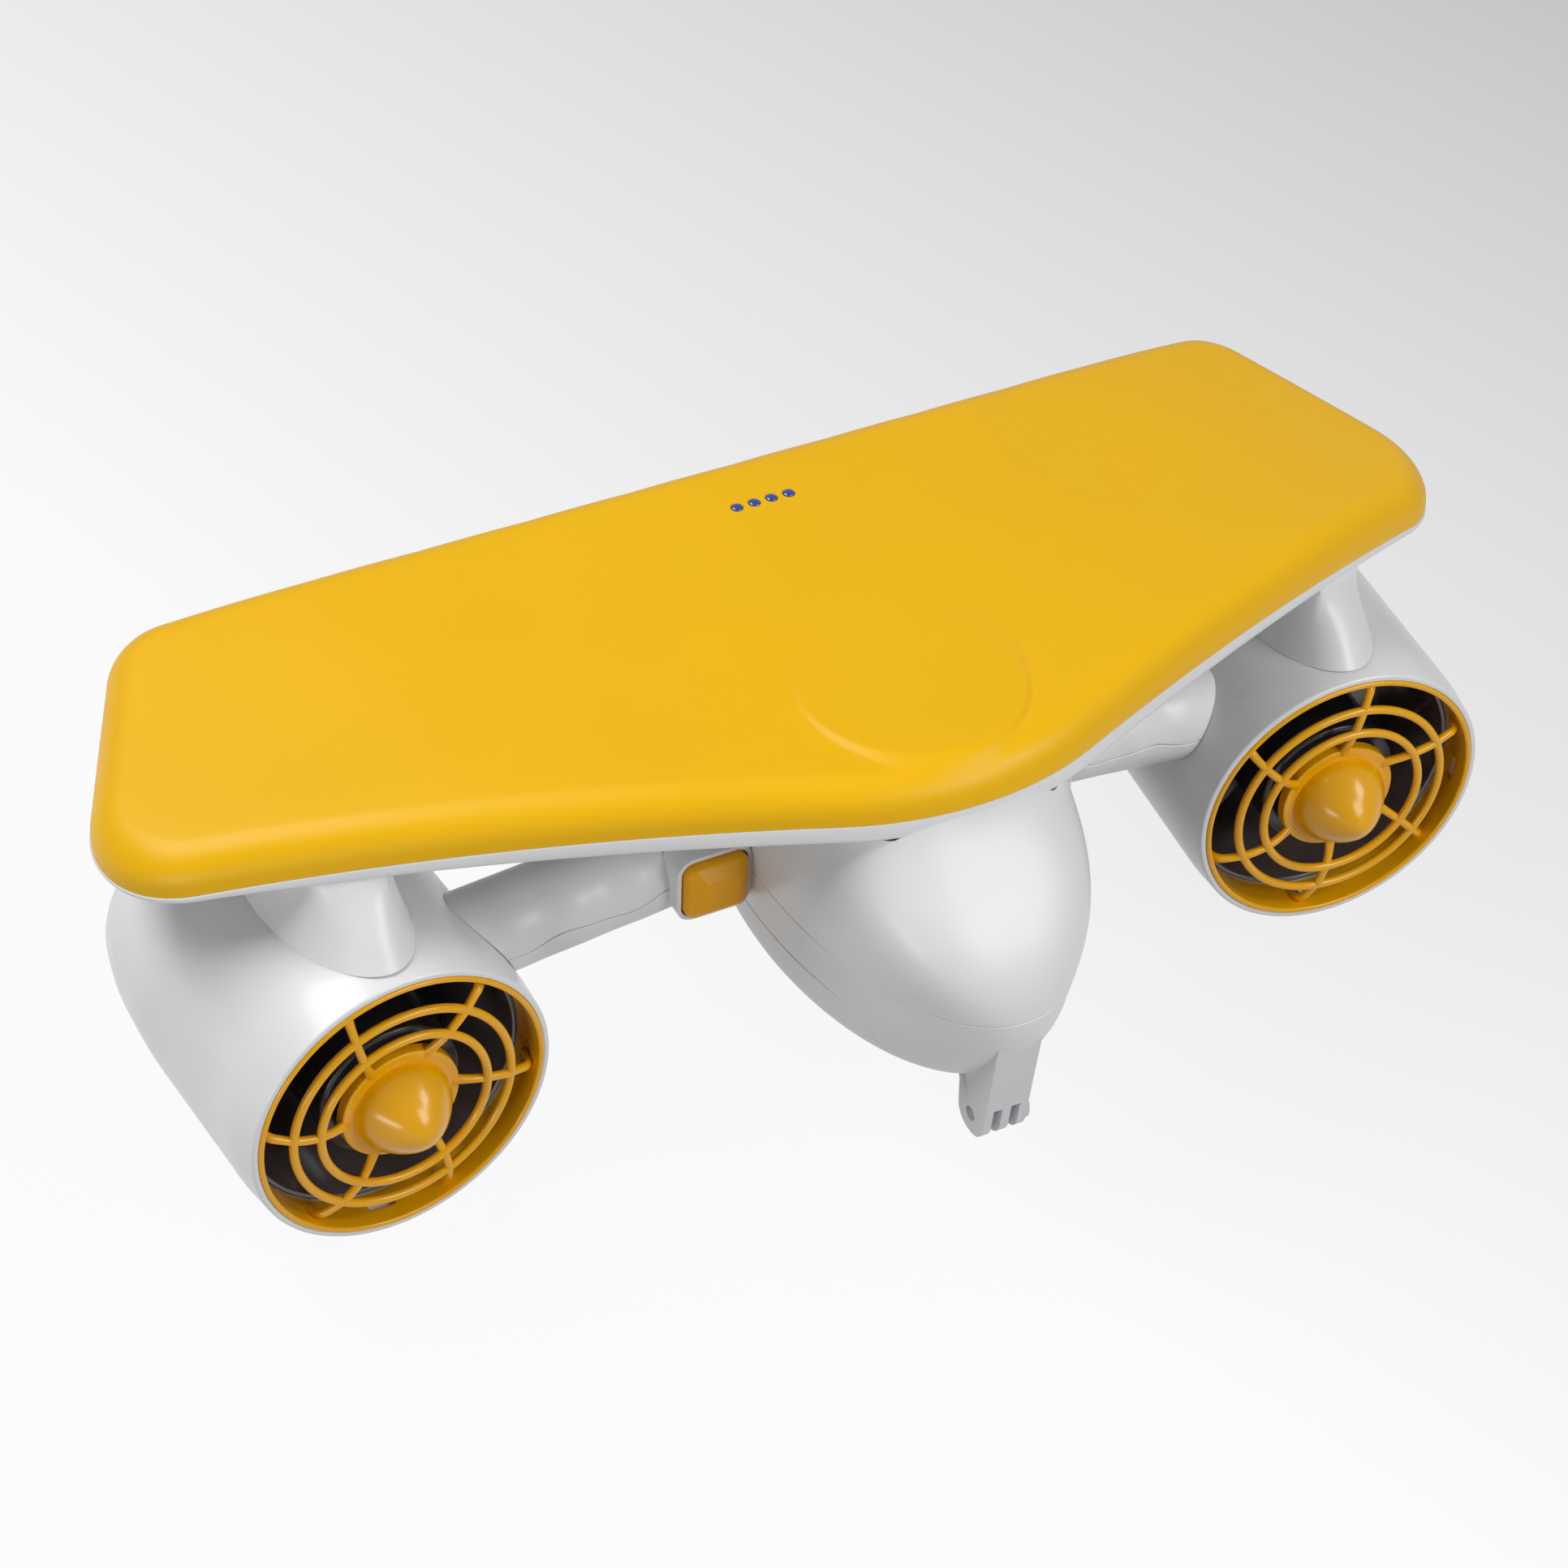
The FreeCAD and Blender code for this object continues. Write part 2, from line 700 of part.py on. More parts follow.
for number, (x, y) in enumerate(DECK_SCREW_POINTS):
    foot = arch_height(TRAY_FLOOR[0], TRAY_FLOOR[1], x) + " + Sizes.seat_gap + 0.5"
    head = arch_height(COVER_UNDER[0], COVER_UNDER[1], x) + " + Sizes.cover_wall / 2"
    bosses.append(cylinder("boss%d" % number, s("boss_radius"), "(%s) - (%s)" % (head, foot), x, y, foot))
    pilots.append(cylinder("pilot%d" % number, SCREW_HOLE, "Sizes.screw_length - 3", x, y, foot + " - 1"))
lens_xs = ["%s * Sizes.lens_pitch" % step for step in ("-1.5", "-0.5", "0.5", "1.5")]
LENS_HOLE = "Sizes.lens_radius + Sizes.seat_gap"
lens_holes = [cylinder("lens_hole%d" % i, LENS_HOLE, "30", x, s("lens_y"), s("seam_height"))
              for i, x in enumerate(lens_xs)]
cover_bossed = fuse("cover_bossed", [cover_shell, thumb_step] + bosses)
top_cover = cut("top_cover", cover_bossed, group("cover_holes", pilots + lens_holes))
keep(at_datum(top_cover), "top_cover")

# Clear blue battery-level lenses, pushed up from inside, and their board
lenses = []
for i, x in enumerate(lens_xs):
    lens = new_body("lens%d" % i)
    profile = new_sketch(lens, "lens_profile%d" % i, "XZ_Plane")
    flange_top = "-Sizes.cover_wall - Sizes.seat_gap"
    outline(profile, [("0", flange_top + " - 1.6"), ("3", flange_top + " - 1.6"), ("3", flange_top),
                      (s("lens_radius"), flange_top), (s("lens_radius"), "0.8", "1.4"), ("0", "0.8")])
    revolve(lens, "lens_turned%d" % i, profile)
    lenses.append(place(lens, x, s("lens_y"), arch_height(COVER_TOP[0], COVER_TOP[1], x)))
keep(at_datum(group("level_lenses", lenses)), "level_lenses")
lens_foot = COVER_UNDER[0] + " - 1.8"
led_base = slab("led_base", "-16", "16", "Sizes.lens_y - 7", "Sizes.lens_y + 7",
                 lens_foot + " - Sizes.board_thickness", lens_foot)
led_plate = fuse("led_plate", [led_base, slab("led_socket", "-5", "5", "Sizes.lens_y - 6", "Sizes.lens_y - 3",
                                               lens_foot + " - Sizes.board_thickness - 3", lens_foot)])
keep(at_datum(led_plate), "led_board")

# Seal that lies on the tray's rim, just inside the cover's wall
seal_outer = deck_block("seal_outer", SEAM[0] + " + 0.02", SEAM[1] + " + 0.02", SEAM[0] + " + 1.5",
                        SEAM[1] + " + 1.5", "Sizes.cover_wall + Sizes.seat_gap")
seal_inner = deck_block("seal_inner", SEAM[0] + " - 1", SEAM[1] + " - 1", SEAM[0] + " + 3",
                        SEAM[1] + " + 3", "Sizes.cover_wall + 2.2")
keep(at_datum(cut("deck_seal_ring", seal_outer, seal_inner)), "deck_seal")


# Thruster nacelle: outer curve, used for the shell and to seat what meets it
def nacelle_curve(gap):
    """Corners of the nacelle's outer curve, from its lip to its tail."""
    return [("Sizes.nacelle_lip_radius" + gap, "0", "0.9"),
            ("Sizes.nacelle_radius" + gap, "12", "60"),
            ("Sizes.nacelle_radius" + gap, s("nacelle_barrel_end"), "150"),
            ("Sizes.nacelle_tail_radius + 3.8" + gap, "Sizes.nacelle_length - 13", "60"),
            ("Sizes.nacelle_tail_radius" + gap, s("nacelle_length"), "1.8")]


envelopes = {}
for side in SIDES:
    envelope_curve = nacelle_curve(" + Sizes.seat_gap") + [("0", s("nacelle_length")), ("0", "0")]
    envelope = turned("envelope_" + side, envelope_curve)
    envelopes[side] = toed(envelope, side)

# White tray: arched floor with a raised rim and the two pylons moulded on
tray_form = deck_block("tray_form", TRAY_UNDER[0], TRAY_UNDER[1], TRAY_TOP[0], TRAY_TOP[1])
round_rim(tray_form, "tray_edge", s("tray_edge_radius"), False)
tray_hollow = deck_block("tray_hollow", TRAY_FLOOR[0], TRAY_FLOOR[1], SEAM[0] + " + 5",
                         SEAM[1] + " + 5", s("tray_rim"))
tray_opening = slab("tray_opening", "-Sizes.tray_opening_width / 2", "Sizes.tray_opening_width / 2",
                    "Sizes.tray_opening_y - Sizes.tray_opening_length / 2",
                    "Sizes.tray_opening_y + Sizes.tray_opening_length / 2", "60", "120")
tray_shell = cut("tray_shell", tray_form, group("tray_spaces", [tray_hollow, tray_opening]))
pylon_zone = deck_block("pylon_zone", SEAM[0] + " - 62", SEAM[1], SEAM[0] + " - 2.5", SEAM[1])
pylons = []
for side in SIDES:
    foot = ellipse("pylon_foot_" + side, "Sizes.pylon_width / 2 + 0.8", "Sizes.pylon_length / 2 + 1.5",
                   "Sizes.pylon_nose + Sizes.pylon_length / 2", "44")
    top = ellipse("pylon_top_" + side, "Sizes.pylon_top_width / 2 - 0.6", "Sizes.pylon_top_length / 2",
                  "Sizes.pylon_top_nose + Sizes.pylon_top_length / 2", "86")
    pylon = toed(loft("pylon_form_" + side, [foot, top], True), side)
    pylons.append(cut("pylon_" + side, common("pylon_inside_" + side, [pylon, pylon_zone]), envelopes[side]))
posts = []
for sign in ("", "-"):
    for y in ("-4", "34"):
        name = "post%s%s" % ("left" if sign else "right", "front" if y == "-4" else "rear")
        floor = arch_height(TRAY_FLOOR[0], TRAY_FLOOR[1], "50") + " - 1"
        post_height = "Sizes.board_height - Sizes.seat_gap - (%s)" % floor
        posts.append(cylinder(name, "3", post_height, sign + "50", y, floor))
tray_holes = []
for number, (x, y) in enumerate(DECK_SCREW_POINTS):
    under = arch_height(TRAY_UNDER[0], TRAY_UNDER[1], x)
    tray_holes.append(cylinder("tray_hole%d" % number, SCREW_HOLE, "30", x, y, under + " - 10"))
    tray_holes.append(cylinder("tray_sink%d" % number, "Sizes.screw_head_radius + Sizes.seat_gap",
                               "10 + Sizes.screw_head_height - 0.6", x, y, under + " - 10"))
tray_full = fuse("tray_full", [tray_shell] + pylons + posts)
lower_tray = cut("lower_tray", tray_full, group("tray_cuts", tray_holes))
keep(at_datum(lower_tray), "lower_tray")


def screw(name, length, x, y, z):
    """Round-headed screw pointing up, standing on its head's underside."""
    body = new_body(name)
    profile = new_sketch(body, name + "_profile", "XZ_Plane")
    outline(profile, [("0", "-" + s("screw_head_height")),
                      (s("screw_head_radius"), "-" + s("screw_head_height"), "0.9"),
                      (s("screw_head_radius"), "0"), (s("screw_radius"), "0"), (s("screw_radius"), length),
                      ("0", length)])
    revolve(body, name + "_turned", profile)
    return place(body, x, y, z)


deck_screws = []
for number, (x, y) in enumerate(DECK_SCREW_POINTS):
    seat = arch_height(TRAY_UNDER[0], TRAY_UNDER[1], x) + " + Sizes.screw_head_height - 0.6 - Sizes.seat_gap"
    deck_screws.append(screw("deck_screw%d" % number, s("screw_length") + " - 3.5", x, y, seat))
keep(at_datum(group("deck_screw_set", deck_screws)), "deck_screws")

# Controller board over the tray's opening, on four posts
BOARD_TOP = "Sizes.board_height + Sizes.board_thickness"
board_plate = slab("board_plate", "-60", "60", "-10", "40", s("board_height"), BOARD_TOP)
drives = [slab("drive_" + side, "%d * 30 - 12" % SIDES[side], "%d * 30 + 12" % SIDES[side], "2", "28",
               BOARD_TOP,
               BOARD_TOP + " + 2.2") for side in SIDES]
keep(at_datum(fuse("controller_parts", [board_plate] + drives)), "controller_board")

# Pod: smooth loft through level ellipses, hollowed, with two cross ribs
POD_SIDES = [(s("pod_%s_half" % level), s("pod_%s_nose" % level), s("pod_" + level))
             for level in ("low", "seam", "high", "top")]

# Rounded bottom edge: (rise, inset), both as shares of its radius
BOTTOM_ROUND = [(0.0, 0.62), (0.17, 0.38), (0.5, 0.13)]


def pod_form(name, wall, radius, top):
    """Solid pod, or its hollow when a wall is taken off all round."""
    floor = "Sizes.pod_bottom" + wall.replace("-", "+")
    sections = []
    for number, (rise, inset) in enumerate(BOTTOM_ROUND):
        share = "(%s * (%s)) / (Sizes.pod_low - Sizes.pod_bottom)" % (rise, radius)
        spread = [" + (Sizes.pod_low_%s - Sizes.pod_bottom_%s) * %s - %s * (%s)"
                  % (part, part, share, inset, radius)
                  for part in ("half", "nose")]
        sections.append(ellipse("%s_bottom%d" % (name, number), "Sizes.pod_bottom_half" + wall + spread[0],
                                "Sizes.pod_bottom_nose" + wall + spread[1], s("pod_middle_y"),
                                "%s + %s * (%s)" % (floor, rise, radius)))
    for number, (half_width, nose, height) in enumerate(POD_SIDES):
        lift = top if number == 3 else ""
        sections.append(ellipse("%s_level%d" % (name, number), half_width + wall, nose + wall,
                                s("pod_middle_y"), height + lift))
    return loft(name, sections)


pod_outer = pod_form("pod_outer", "", s("pod_bottom_radius"), "")
pod_inner = pod_form("pod_inner", " - Sizes.pod_wall", "Sizes.pod_bottom_radius - Sizes.pod_wall", " + 2")
HALF_RIB = "Sizes.rib_thickness / 2"
RIB_YS = {"front": "Sizes.battery_y - Sizes.battery_length / 2 - 4",
          "rear": "Sizes.battery_y + Sizes.battery_length / 2 + 4"}
ribs = [slab("rib_" + end, "-60", "60", "%s - %s" % (y, HALF_RIB), "%s + %s" % (y, HALF_RIB), "-20",
             s("rib_top")) for end, y in RIB_YS.items()]
pod_hollow = cut("pod_hollow", pod_inner, group("ribs", ribs))
pod_shell = cut("pod_shell", pod_outer, pod_hollow)
upper_zone = slab("upper_zone", "-70", "70", "-110", "140", s("pod_seam"), "120")
lower_zone = slab("lower_zone", "-70", "70", "-110", "140", "-30", "Sizes.pod_seam - Sizes.seat_gap")
deck_space = deck_block("deck_space", TRAY_UNDER[0] + " - Sizes.seat_gap",
                        TRAY_UNDER[1] + " - Sizes.seat_gap", SEAM[0] + " + 30", SEAM[1])
pod_upper = common("pod_upper", [pod_shell, upper_zone])
keep(at_datum(cut("nose_shell", pod_upper, deck_space)), "pod_nose_shell")


def hatch_zone(name, inset):
    """Space below the hatch seam, seen from the side, with a curved front edge."""
    body = new_body(name)
    sketch = new_sketch(body, name + "_side", "YZ_Plane")
    front = "Sizes.hatch_front_y" + inset
    top = "Sizes.hatch_seam" + inset.replace("+", "-")
    outline(sketch, [(front, "-30"), ("140", "-30"), ("140", top), (front, top, s("hatch_radius"))])
    add(body, "PartDesign::Pad", name + "_block", Profile=sketch, Length="140", Midplane=True)
    return body


HATCH_SCREWS = [(sign + "14", y) for y in RIB_YS.values() for sign in ("", "-")]
HATCH_SCREW_SEAT = "Sizes.pod_bottom + Sizes.screw_head_height"
hatch_holes = []
hatch_screws = []
for number, (x, y) in enumerate(HATCH_SCREWS):
    hatch_holes.append(cylinder("hatch_hole%d" % number, SCREW_HOLE, "44", x, y, "-10"))
    hatch_holes.append(cylinder("hatch_sink%d" % number, "Sizes.screw_head_radius + Sizes.seat_gap",
                                "10 + " + HATCH_SCREW_SEAT, x, y, "-10"))
    hatch_screws.append(screw("hatch_screw%d" % number, "30", x, y, HATCH_SCREW_SEAT + " - Sizes.seat_gap"))
hatch_drill = group("hatch_drill", hatch_holes)
pod_lower = common("pod_lower", [pod_shell, lower_zone])
belly = cut("belly", pod_lower, hatch_zone("hatch_space", ""))
keep(at_datum(cut("belly_drilled", belly, hatch_drill)), "pod_belly_shell")
hatch = common("hatch", [pod_lower, hatch_zone("hatch_block", " + Sizes.seat_gap")])
keep(at_datum(cut("hatch_drilled", hatch, hatch_drill)), "pod_hatch")
keep(at_datum(group("hatch_screw_set", hatch_screws)), "hatch_screws")


def pod_ring(name, wall):
    """Short upright loft at the pod's seam, a given distance inside its surface."""
    return loft(name, [ellipse("%s_%s" % (name, end), "Sizes.pod_seam_half - " + wall,
                               "Sizes.pod_seam_nose - " + wall, s("pod_middle_y"), "Sizes.pod_seam + " + lift)
                       for end, lift in (("low", "-1"), ("high", "1"))], True)


keep(at_datum(cut("pod_seal_ring", pod_ring("seal_outside", "Sizes.pod_wall - 0.2"),
                  pod_ring("seal_inside", "Sizes.pod_wall - 2.2"))), "pod_seal")

# Battery on the hatch floor between the ribs, with its contact block on top
battery = new_body("battery")
battery_sketch = new_sketch(battery, "battery_outline", "XY_Plane")
half_width, half_length = "Sizes.battery_width / 2", "Sizes.battery_length / 2"
outline(battery_sketch, [("-" + half_width, "Sizes.battery_y - " + half_length, s("battery_corner")),
                         (half_width, "Sizes.battery_y - " + half_length, s("battery_corner")),
                         (half_width, "Sizes.battery_y + " + half_length, s("battery_corner")),
                         ("-" + half_width, "Sizes.battery_y + " + half_length, s("battery_corner"))])
pad(battery, "battery_block", battery_sketch, s("battery_height"))
BATTERY_FOOT = "Sizes.pod_bottom + Sizes.pod_wall + Sizes.seat_gap"
place(battery, "0", "0", BATTERY_FOOT)
keep(at_datum(group("battery_set", [battery])), "battery_pack")
BATTERY_TOP = BATTERY_FOOT + " + Sizes.battery_height + Sizes.seat_gap"
contact_base = slab("contact_base", "-14", "14", "38", "50", BATTERY_TOP, BATTERY_TOP + " + 3")
contact_pins = [slab("contact_pin%d" % i, "%d - 1.5" % x, "%d + 1.5" % x, "41", "47", BATTERY_TOP,
                     BATTERY_TOP + " + 6")
                for i, x in enumerate((-9, 0, 9))]
keep(at_datum(fuse("contact_block", [contact_base] + contact_pins)), "battery_contacts")

# Camera mount under the nose: three fingers, cross bore and captive nut
mount = new_body("mount")
mount_side = new_sketch(mount, "mount_side", "YZ_Plane")
END_BACK = "Sizes.mount_bore_y + Sizes.mount_end_radius"
END_FRONT = "Sizes.mount_bore_y - Sizes.mount_end_radius"
END_LOW = "Sizes.mount_bore_z - Sizes.mount_end_radius"
outline(mount_side, [(s("mount_front_y"), "26"), (END_FRONT, END_LOW, "Sizes.mount_end_radius - 0.15"),
                     (END_BACK, END_LOW, "Sizes.mount_end_radius - 0.15"), (END_BACK + " + 0.9", "-2", "3"),
                     ("-48", "2"), ("-56", "26")])
add(mount, "PartDesign::Pad", "mount_block", Profile=mount_side, Length=s("mount_width"), Midplane=True)
slots = []
for sign, name in (("-", "left"), ("", "right")):
    middle = "%s(Sizes.mount_finger / 2 + Sizes.mount_slot / 2)" % sign
    slots.append(slab("slot_" + name, "%s - Sizes.mount_slot / 2" % middle,
                      "%s + Sizes.mount_slot / 2" % middle,
                      "-90", "-40", "-30", "Sizes.mount_bore_z + Sizes.mount_end_radius + 0.3"))
mount_hole = make("Part::Cylinder", "mount_hole", Radius=s("mount_bore_radius"), Height="60")
place(mount_hole, "-30", s("mount_bore_y"), s("mount_bore_z"), Y_AXIS, "90")
cage = make("Part::Cylinder", "cage", Radius="Sizes.mount_end_radius - 0.4", Height="2.6")
place(cage, "Sizes.mount_width / 2 - 0.4", s("mount_bore_y"), s("mount_bore_z"), Y_AXIS, "90")
cage_hex = make("Part::Prism", "cage_hex", Polygon=6, Height="9",
                Circumradius="(Sizes.mount_nut_flats + 0.1) / sqrt(3)")
place(cage_hex, "Sizes.mount_width / 2", s("mount_bore_y"), s("mount_bore_z"), Y_AXIS, "90")
mount_solid = fuse("mount_solid", [mount, cage])
mount_cut = cut("mount_cut", mount_solid, group("mount_tools", slots + [mount_hole, cage_hex, pod_outer]))
keep(at_datum(mount_cut), "camera_mount")
mount_nut = hex_ring("mount_nut", s("mount_nut_flats"), s("mount_nut_height"), s("mount_nut_bore"), Y_AXIS,
                     "Sizes.mount_width / 2 + Sizes.seat_gap", s("mount_bore_y"), s("mount_bore_z"))
keep(at_datum(group("mount_nut_seated", [mount_nut])), "camera_mount_nut")


def half_ring(name, outer, inner, length, upper):
    """Half of a round tube along X, above or below its middle plane."""
    body = new_body(name)
    sketch = new_sketch(body, name + "_section", "YZ_Plane")
    way = 1 if upper else -1
    arcs = []
    for number, radius in enumerate((outer, inner)):
        r = value(radius)
        bow = Part.Arc(Vector(-r, 0, 0), Vector(0, way * r, 0), Vector(r, 0, 0))
        arc = sketch.addGeometry(bow, False)
        arcs.append(arc)
        sketch.addConstraint(Sketcher.Constraint("Coincident", arc, 3, -1, 1))
        count = sketch.addConstraint(Sketcher.Constraint("Radius", arc, r))
        sketch.renameConstraint(count, "radius%d" % number)
        sketch.setExpression("Constraints.radius%d" % number, radius)
        sketch.addConstraint(Sketcher.Constraint("PointOnObject", arc, 1, -1))
        sketch.addConstraint(Sketcher.Constraint("PointOnObject", arc, 2, -1))
    low, high = (2, 1) if upper else (1, 2)
    for sign, end in ((-1, low), (1, high)):
        line = Part.LineSegment(Vector(sign * value(outer), 0, 0), Vector(sign * value(inner), 0, 0))
        bridge = sketch.addGeometry(line, False)
        sketch.addConstraint(Sketcher.Constraint("Coincident", bridge, 1, arcs[0], end))
        sketch.addConstraint(Sketcher.Constraint("Coincident", bridge, 2, arcs[1], end))
    add(body, "PartDesign::Pad", name + "_tube", Profile=sketch, Length=length, Midplane=True)
    return body


# Handles: two shells a side between pod and nacelle, with a sprung trigger
for side, sign in SIDES.items():
    droop = Vector(0, sign, 0)
    TRIGGER_X = "%d * Sizes.trigger_x" % sign
    frame_width = "Sizes.trigger_width + 2 * Sizes.slide_gap + 2 * Sizes.bezel_wall"
    frame_height = "Sizes.trigger_height + 2 * Sizes.slide_gap + 2 * Sizes.bezel_wall"
    inner_width = "Sizes.trigger_width + 2 * Sizes.slide_gap"
    inner_height = "Sizes.trigger_height + 2 * Sizes.slide_gap"
    edge = "Sizes.trigger_edge_radius + Sizes.slide_gap"
    frame_edge = edge + " + Sizes.bezel_wall"
    opening = rounded_box("frame_opening_" + side, frame_width + " + 0.1", frame_height + " + 0.1",
                          "20 + Sizes.bezel_depth + Sizes.seat_gap", frame_edge)
    place(opening, TRIGGER_X, "Sizes.bezel_front_y - 20", s("trigger_z"))
    run = rounded_box("trigger_run_" + side, inner_width, inner_height,
                      "Sizes.trigger_depth + Sizes.trigger_travel + 0.6", edge)
    place(run, TRIGGER_X, s("trigger_front_y"), s("trigger_z"))
    cuts = group("handle_cuts_" + side, [pod_outer, envelopes[side], opening, run])
    for part, upper in (("upper", True), ("lower", False)):
        name = "%s_handle_%s" % (side, part)
        tube = half_ring(name + "_form", s("handle_radius"), "Sizes.handle_radius - Sizes.handle_wall",
                         "2 * Sizes.handle_reach", upper)
        drop = "0" if upper else s("seat_gap")
        place(tube, "%d * Sizes.handle_x" % sign, s("handle_y"), "Sizes.handle_z - " + drop, droop,
              s("handle_droop"))
        keep(at_datum(cut(name, tube, cuts)), "%s_handle_%s_shell" % (side, part))

    bezel_block = rounded_box("bezel_block_" + side, frame_width, frame_height, s("bezel_depth"), frame_edge)
    place(bezel_block, TRIGGER_X, s("bezel_front_y"), s("trigger_z"))
    bezel_hole = rounded_box("bezel_hole_" + side, inner_width, inner_height, s("bezel_depth"), edge)
    place(bezel_hole, TRIGGER_X, s("bezel_front_y"), s("trigger_z"))
    bezel = cut("bezel_" + side, bezel_block, group("bezel_cuts_" + side, [bezel_hole, pod_outer]))
    keep(at_datum(bezel), side + "_trigger_bezel")

    block = rounded_box("trigger_block_" + side, s("trigger_width"), s("trigger_height"), s("trigger_depth"),
                        s("trigger_edge_radius"))
    doc.recompute()
    front_face = min(range(len(block.Shape.Faces)), key=lambda i: block.Shape.Faces[i].CenterOfMass.y)
    base = block.Tip
    softened = block.newObject("PartDesign::Fillet", "trigger_edge_" + side)
    softened.Base = (base, rim_edges(block.Shape, front_face + 1))
    bind(softened, "Radius", "Sizes.trigger_edge_radius - 0.6")
    block.Tip = softened
    place(block, TRIGGER_X, s("trigger_front_y"), s("trigger_z"))
    TRIGGER_BACK = "Sizes.trigger_front_y + Sizes.trigger_depth"
    MAGNET_X = "%d * (Sizes.trigger_x + 6.5)" % sign
    pocket_tool = make("Part::Cylinder", "magnet_pocket_" + side, Height="12",
                       Radius="Sizes.magnet_radius + Sizes.seat_gap")
    place(pocket_tool, MAGNET_X, TRIGGER_BACK + " - 3", s("trigger_z"), Vector(-1, 0, 0), "90")
    keep(at_datum(cut("trigger_cut_" + side, block, pocket_tool)), side + "_trigger")
    magnet = make("Part::Cylinder", "magnet_" + side, Radius=s("magnet_radius"), Height="2.9")
    place(magnet, MAGNET_X, TRIGGER_BACK + " - 2.95", s("trigger_z"), Vector(-1, 0, 0), "90")
    keep(at_datum(group("magnet_set_" + side, [magnet])), side + "_trigger_magnet")

    coil = make("Part::Helix", "coil_" + side, Radius=s("spring_radius"),
                Height="Sizes.spring_length - Sizes.spring_wire",
                Pitch="(Sizes.spring_length - Sizes.spring_wire) / 5")
    wire = make("Part::Circle", "wire_" + side, Radius="Sizes.spring_wire / 2")
    place(wire, s("spring_radius"), "0", "0", X_AXIS, "90")
    spring = doc.addObject("Part::Sweep", "spring_" + side)
    spring.Sections = [wire]
    spring.Spine = (coil, ["Edge1"])
    spring.Solid = True
    spring.Frenet = True
    place(spring, TRIGGER_X, TRIGGER_BACK + " + Sizes.spring_wire / 2 + 0.02", s("trigger_z"),
          Vector(-1, 0, 0), "90")
    keep(at_datum(group("spring_set_" + side, [spring])), side + "_trigger_spring")

    plate = rounded_box("sensor_plate_" + side, "16", "22.4", s("board_thickness"), "2")
    rise = "(Sizes.handle_x - Sizes.trigger_x) * tan(Sizes.handle_droop)"
    place(plate, TRIGGER_X, s("sensor_y"), "Sizes.handle_z + " + rise, droop, s("handle_droop"))
    cup = turned("cup_" + side, [(s("cup_radius"), TRIGGER_BACK + " + Sizes.trigger_travel + 0.5"),
                                 ("Sizes.cup_radius + 1", TRIGGER_BACK + " + Sizes.trigger_travel + 0.5"),
                                 ("Sizes.cup_radius + 1", "Sizes.sensor_y + 0.4"),
                                 (s("cup_radius"), "Sizes.sensor_y + 0.4")])
    place(cup, TRIGGER_X, "0", s("trigger_z"))
    chip = slab("chip_" + side, MAGNET_X + " - 1.5", MAGNET_X + " + 1.5", "Sizes.sensor_y - 1.2",
                "Sizes.sensor_y + 0.4",
                "Sizes.trigger_z - 2", "Sizes.trigger_z + 2")
    keep(at_datum(fuse("sensor_" + side, [plate, cup, chip])), side + "_trigger_sensor")

# Depths and radii shared by the turned pieces of a thruster
LINER_OUTER = "Sizes.liner_bore_radius + Sizes.liner_wall"
HUB_INNER = "Sizes.prop_hub_radius - Sizes.prop_wall"
BELL_OUTER = HUB_INNER + " - Sizes.seat_gap"
BELL_INNER = BELL_OUTER + " - Sizes.bell_wall"
BELL_FRONT = "Sizes.prop_front + Sizes.prop_wall + Sizes.seat_gap"
MAGNET_OUTER = BELL_INNER + " - Sizes.seat_gap"
MAGNET_INNER = MAGNET_OUTER + " - Sizes.magnet_thickness"
STATOR_OUTER = MAGNET_INNER + " - Sizes.air_gap"
STATOR_INNER = "Sizes.carrier_radius + Sizes.seat_gap"
STATOR_MIDDLE = "Sizes.magnet_front + Sizes.magnet_length / 2"
BEARING_SEAT = "Sizes.bearing_radius + Sizes.seat_gap"
SHAFT_HOLE = "Sizes.shaft_radius + Sizes.seat_gap"
SEAL_BACK = "Sizes.carrier_front + 3"
FRONT_BEARING = SEAL_BACK + " + 0.1"
REAR_BEARING = "Sizes.mount_front + 5"


def blade(name, turn):
    """One propeller blade, a twisted loft from inside the hub to past the tip."""
    sections = []
    stations = (("root", "Sizes.prop_hub_radius - 1.9", "Sizes.blade_pitch + 12", "1", "1.5"),
                ("middle", "(Sizes.prop_hub_radius + Sizes.blade_tip_radius) / 2", s("blade_pitch"),
                 "1.08", "1"),
                ("tip", "Sizes.blade_tip_radius + 2", "Sizes.blade_pitch - 10", "0.9", "0.6"))
    for station, radius, pitch, broad, thick in stations:
        curve = make("Part::Ellipse", "%s_%s" % (name, station),
                     MajorRadius="Sizes.blade_chord / 2 * " + broad,
                     MinorRadius="Sizes.blade_thickness / 2 * " + thick)
        place(curve, "0", s("blade_middle"), radius, Vector(0, 0, -1), pitch)
        sections.append(curve)
    form = loft(name + "_form", sections)
    return place(form, "0", "0", "0", Y_AXIS, turn) if turn else form


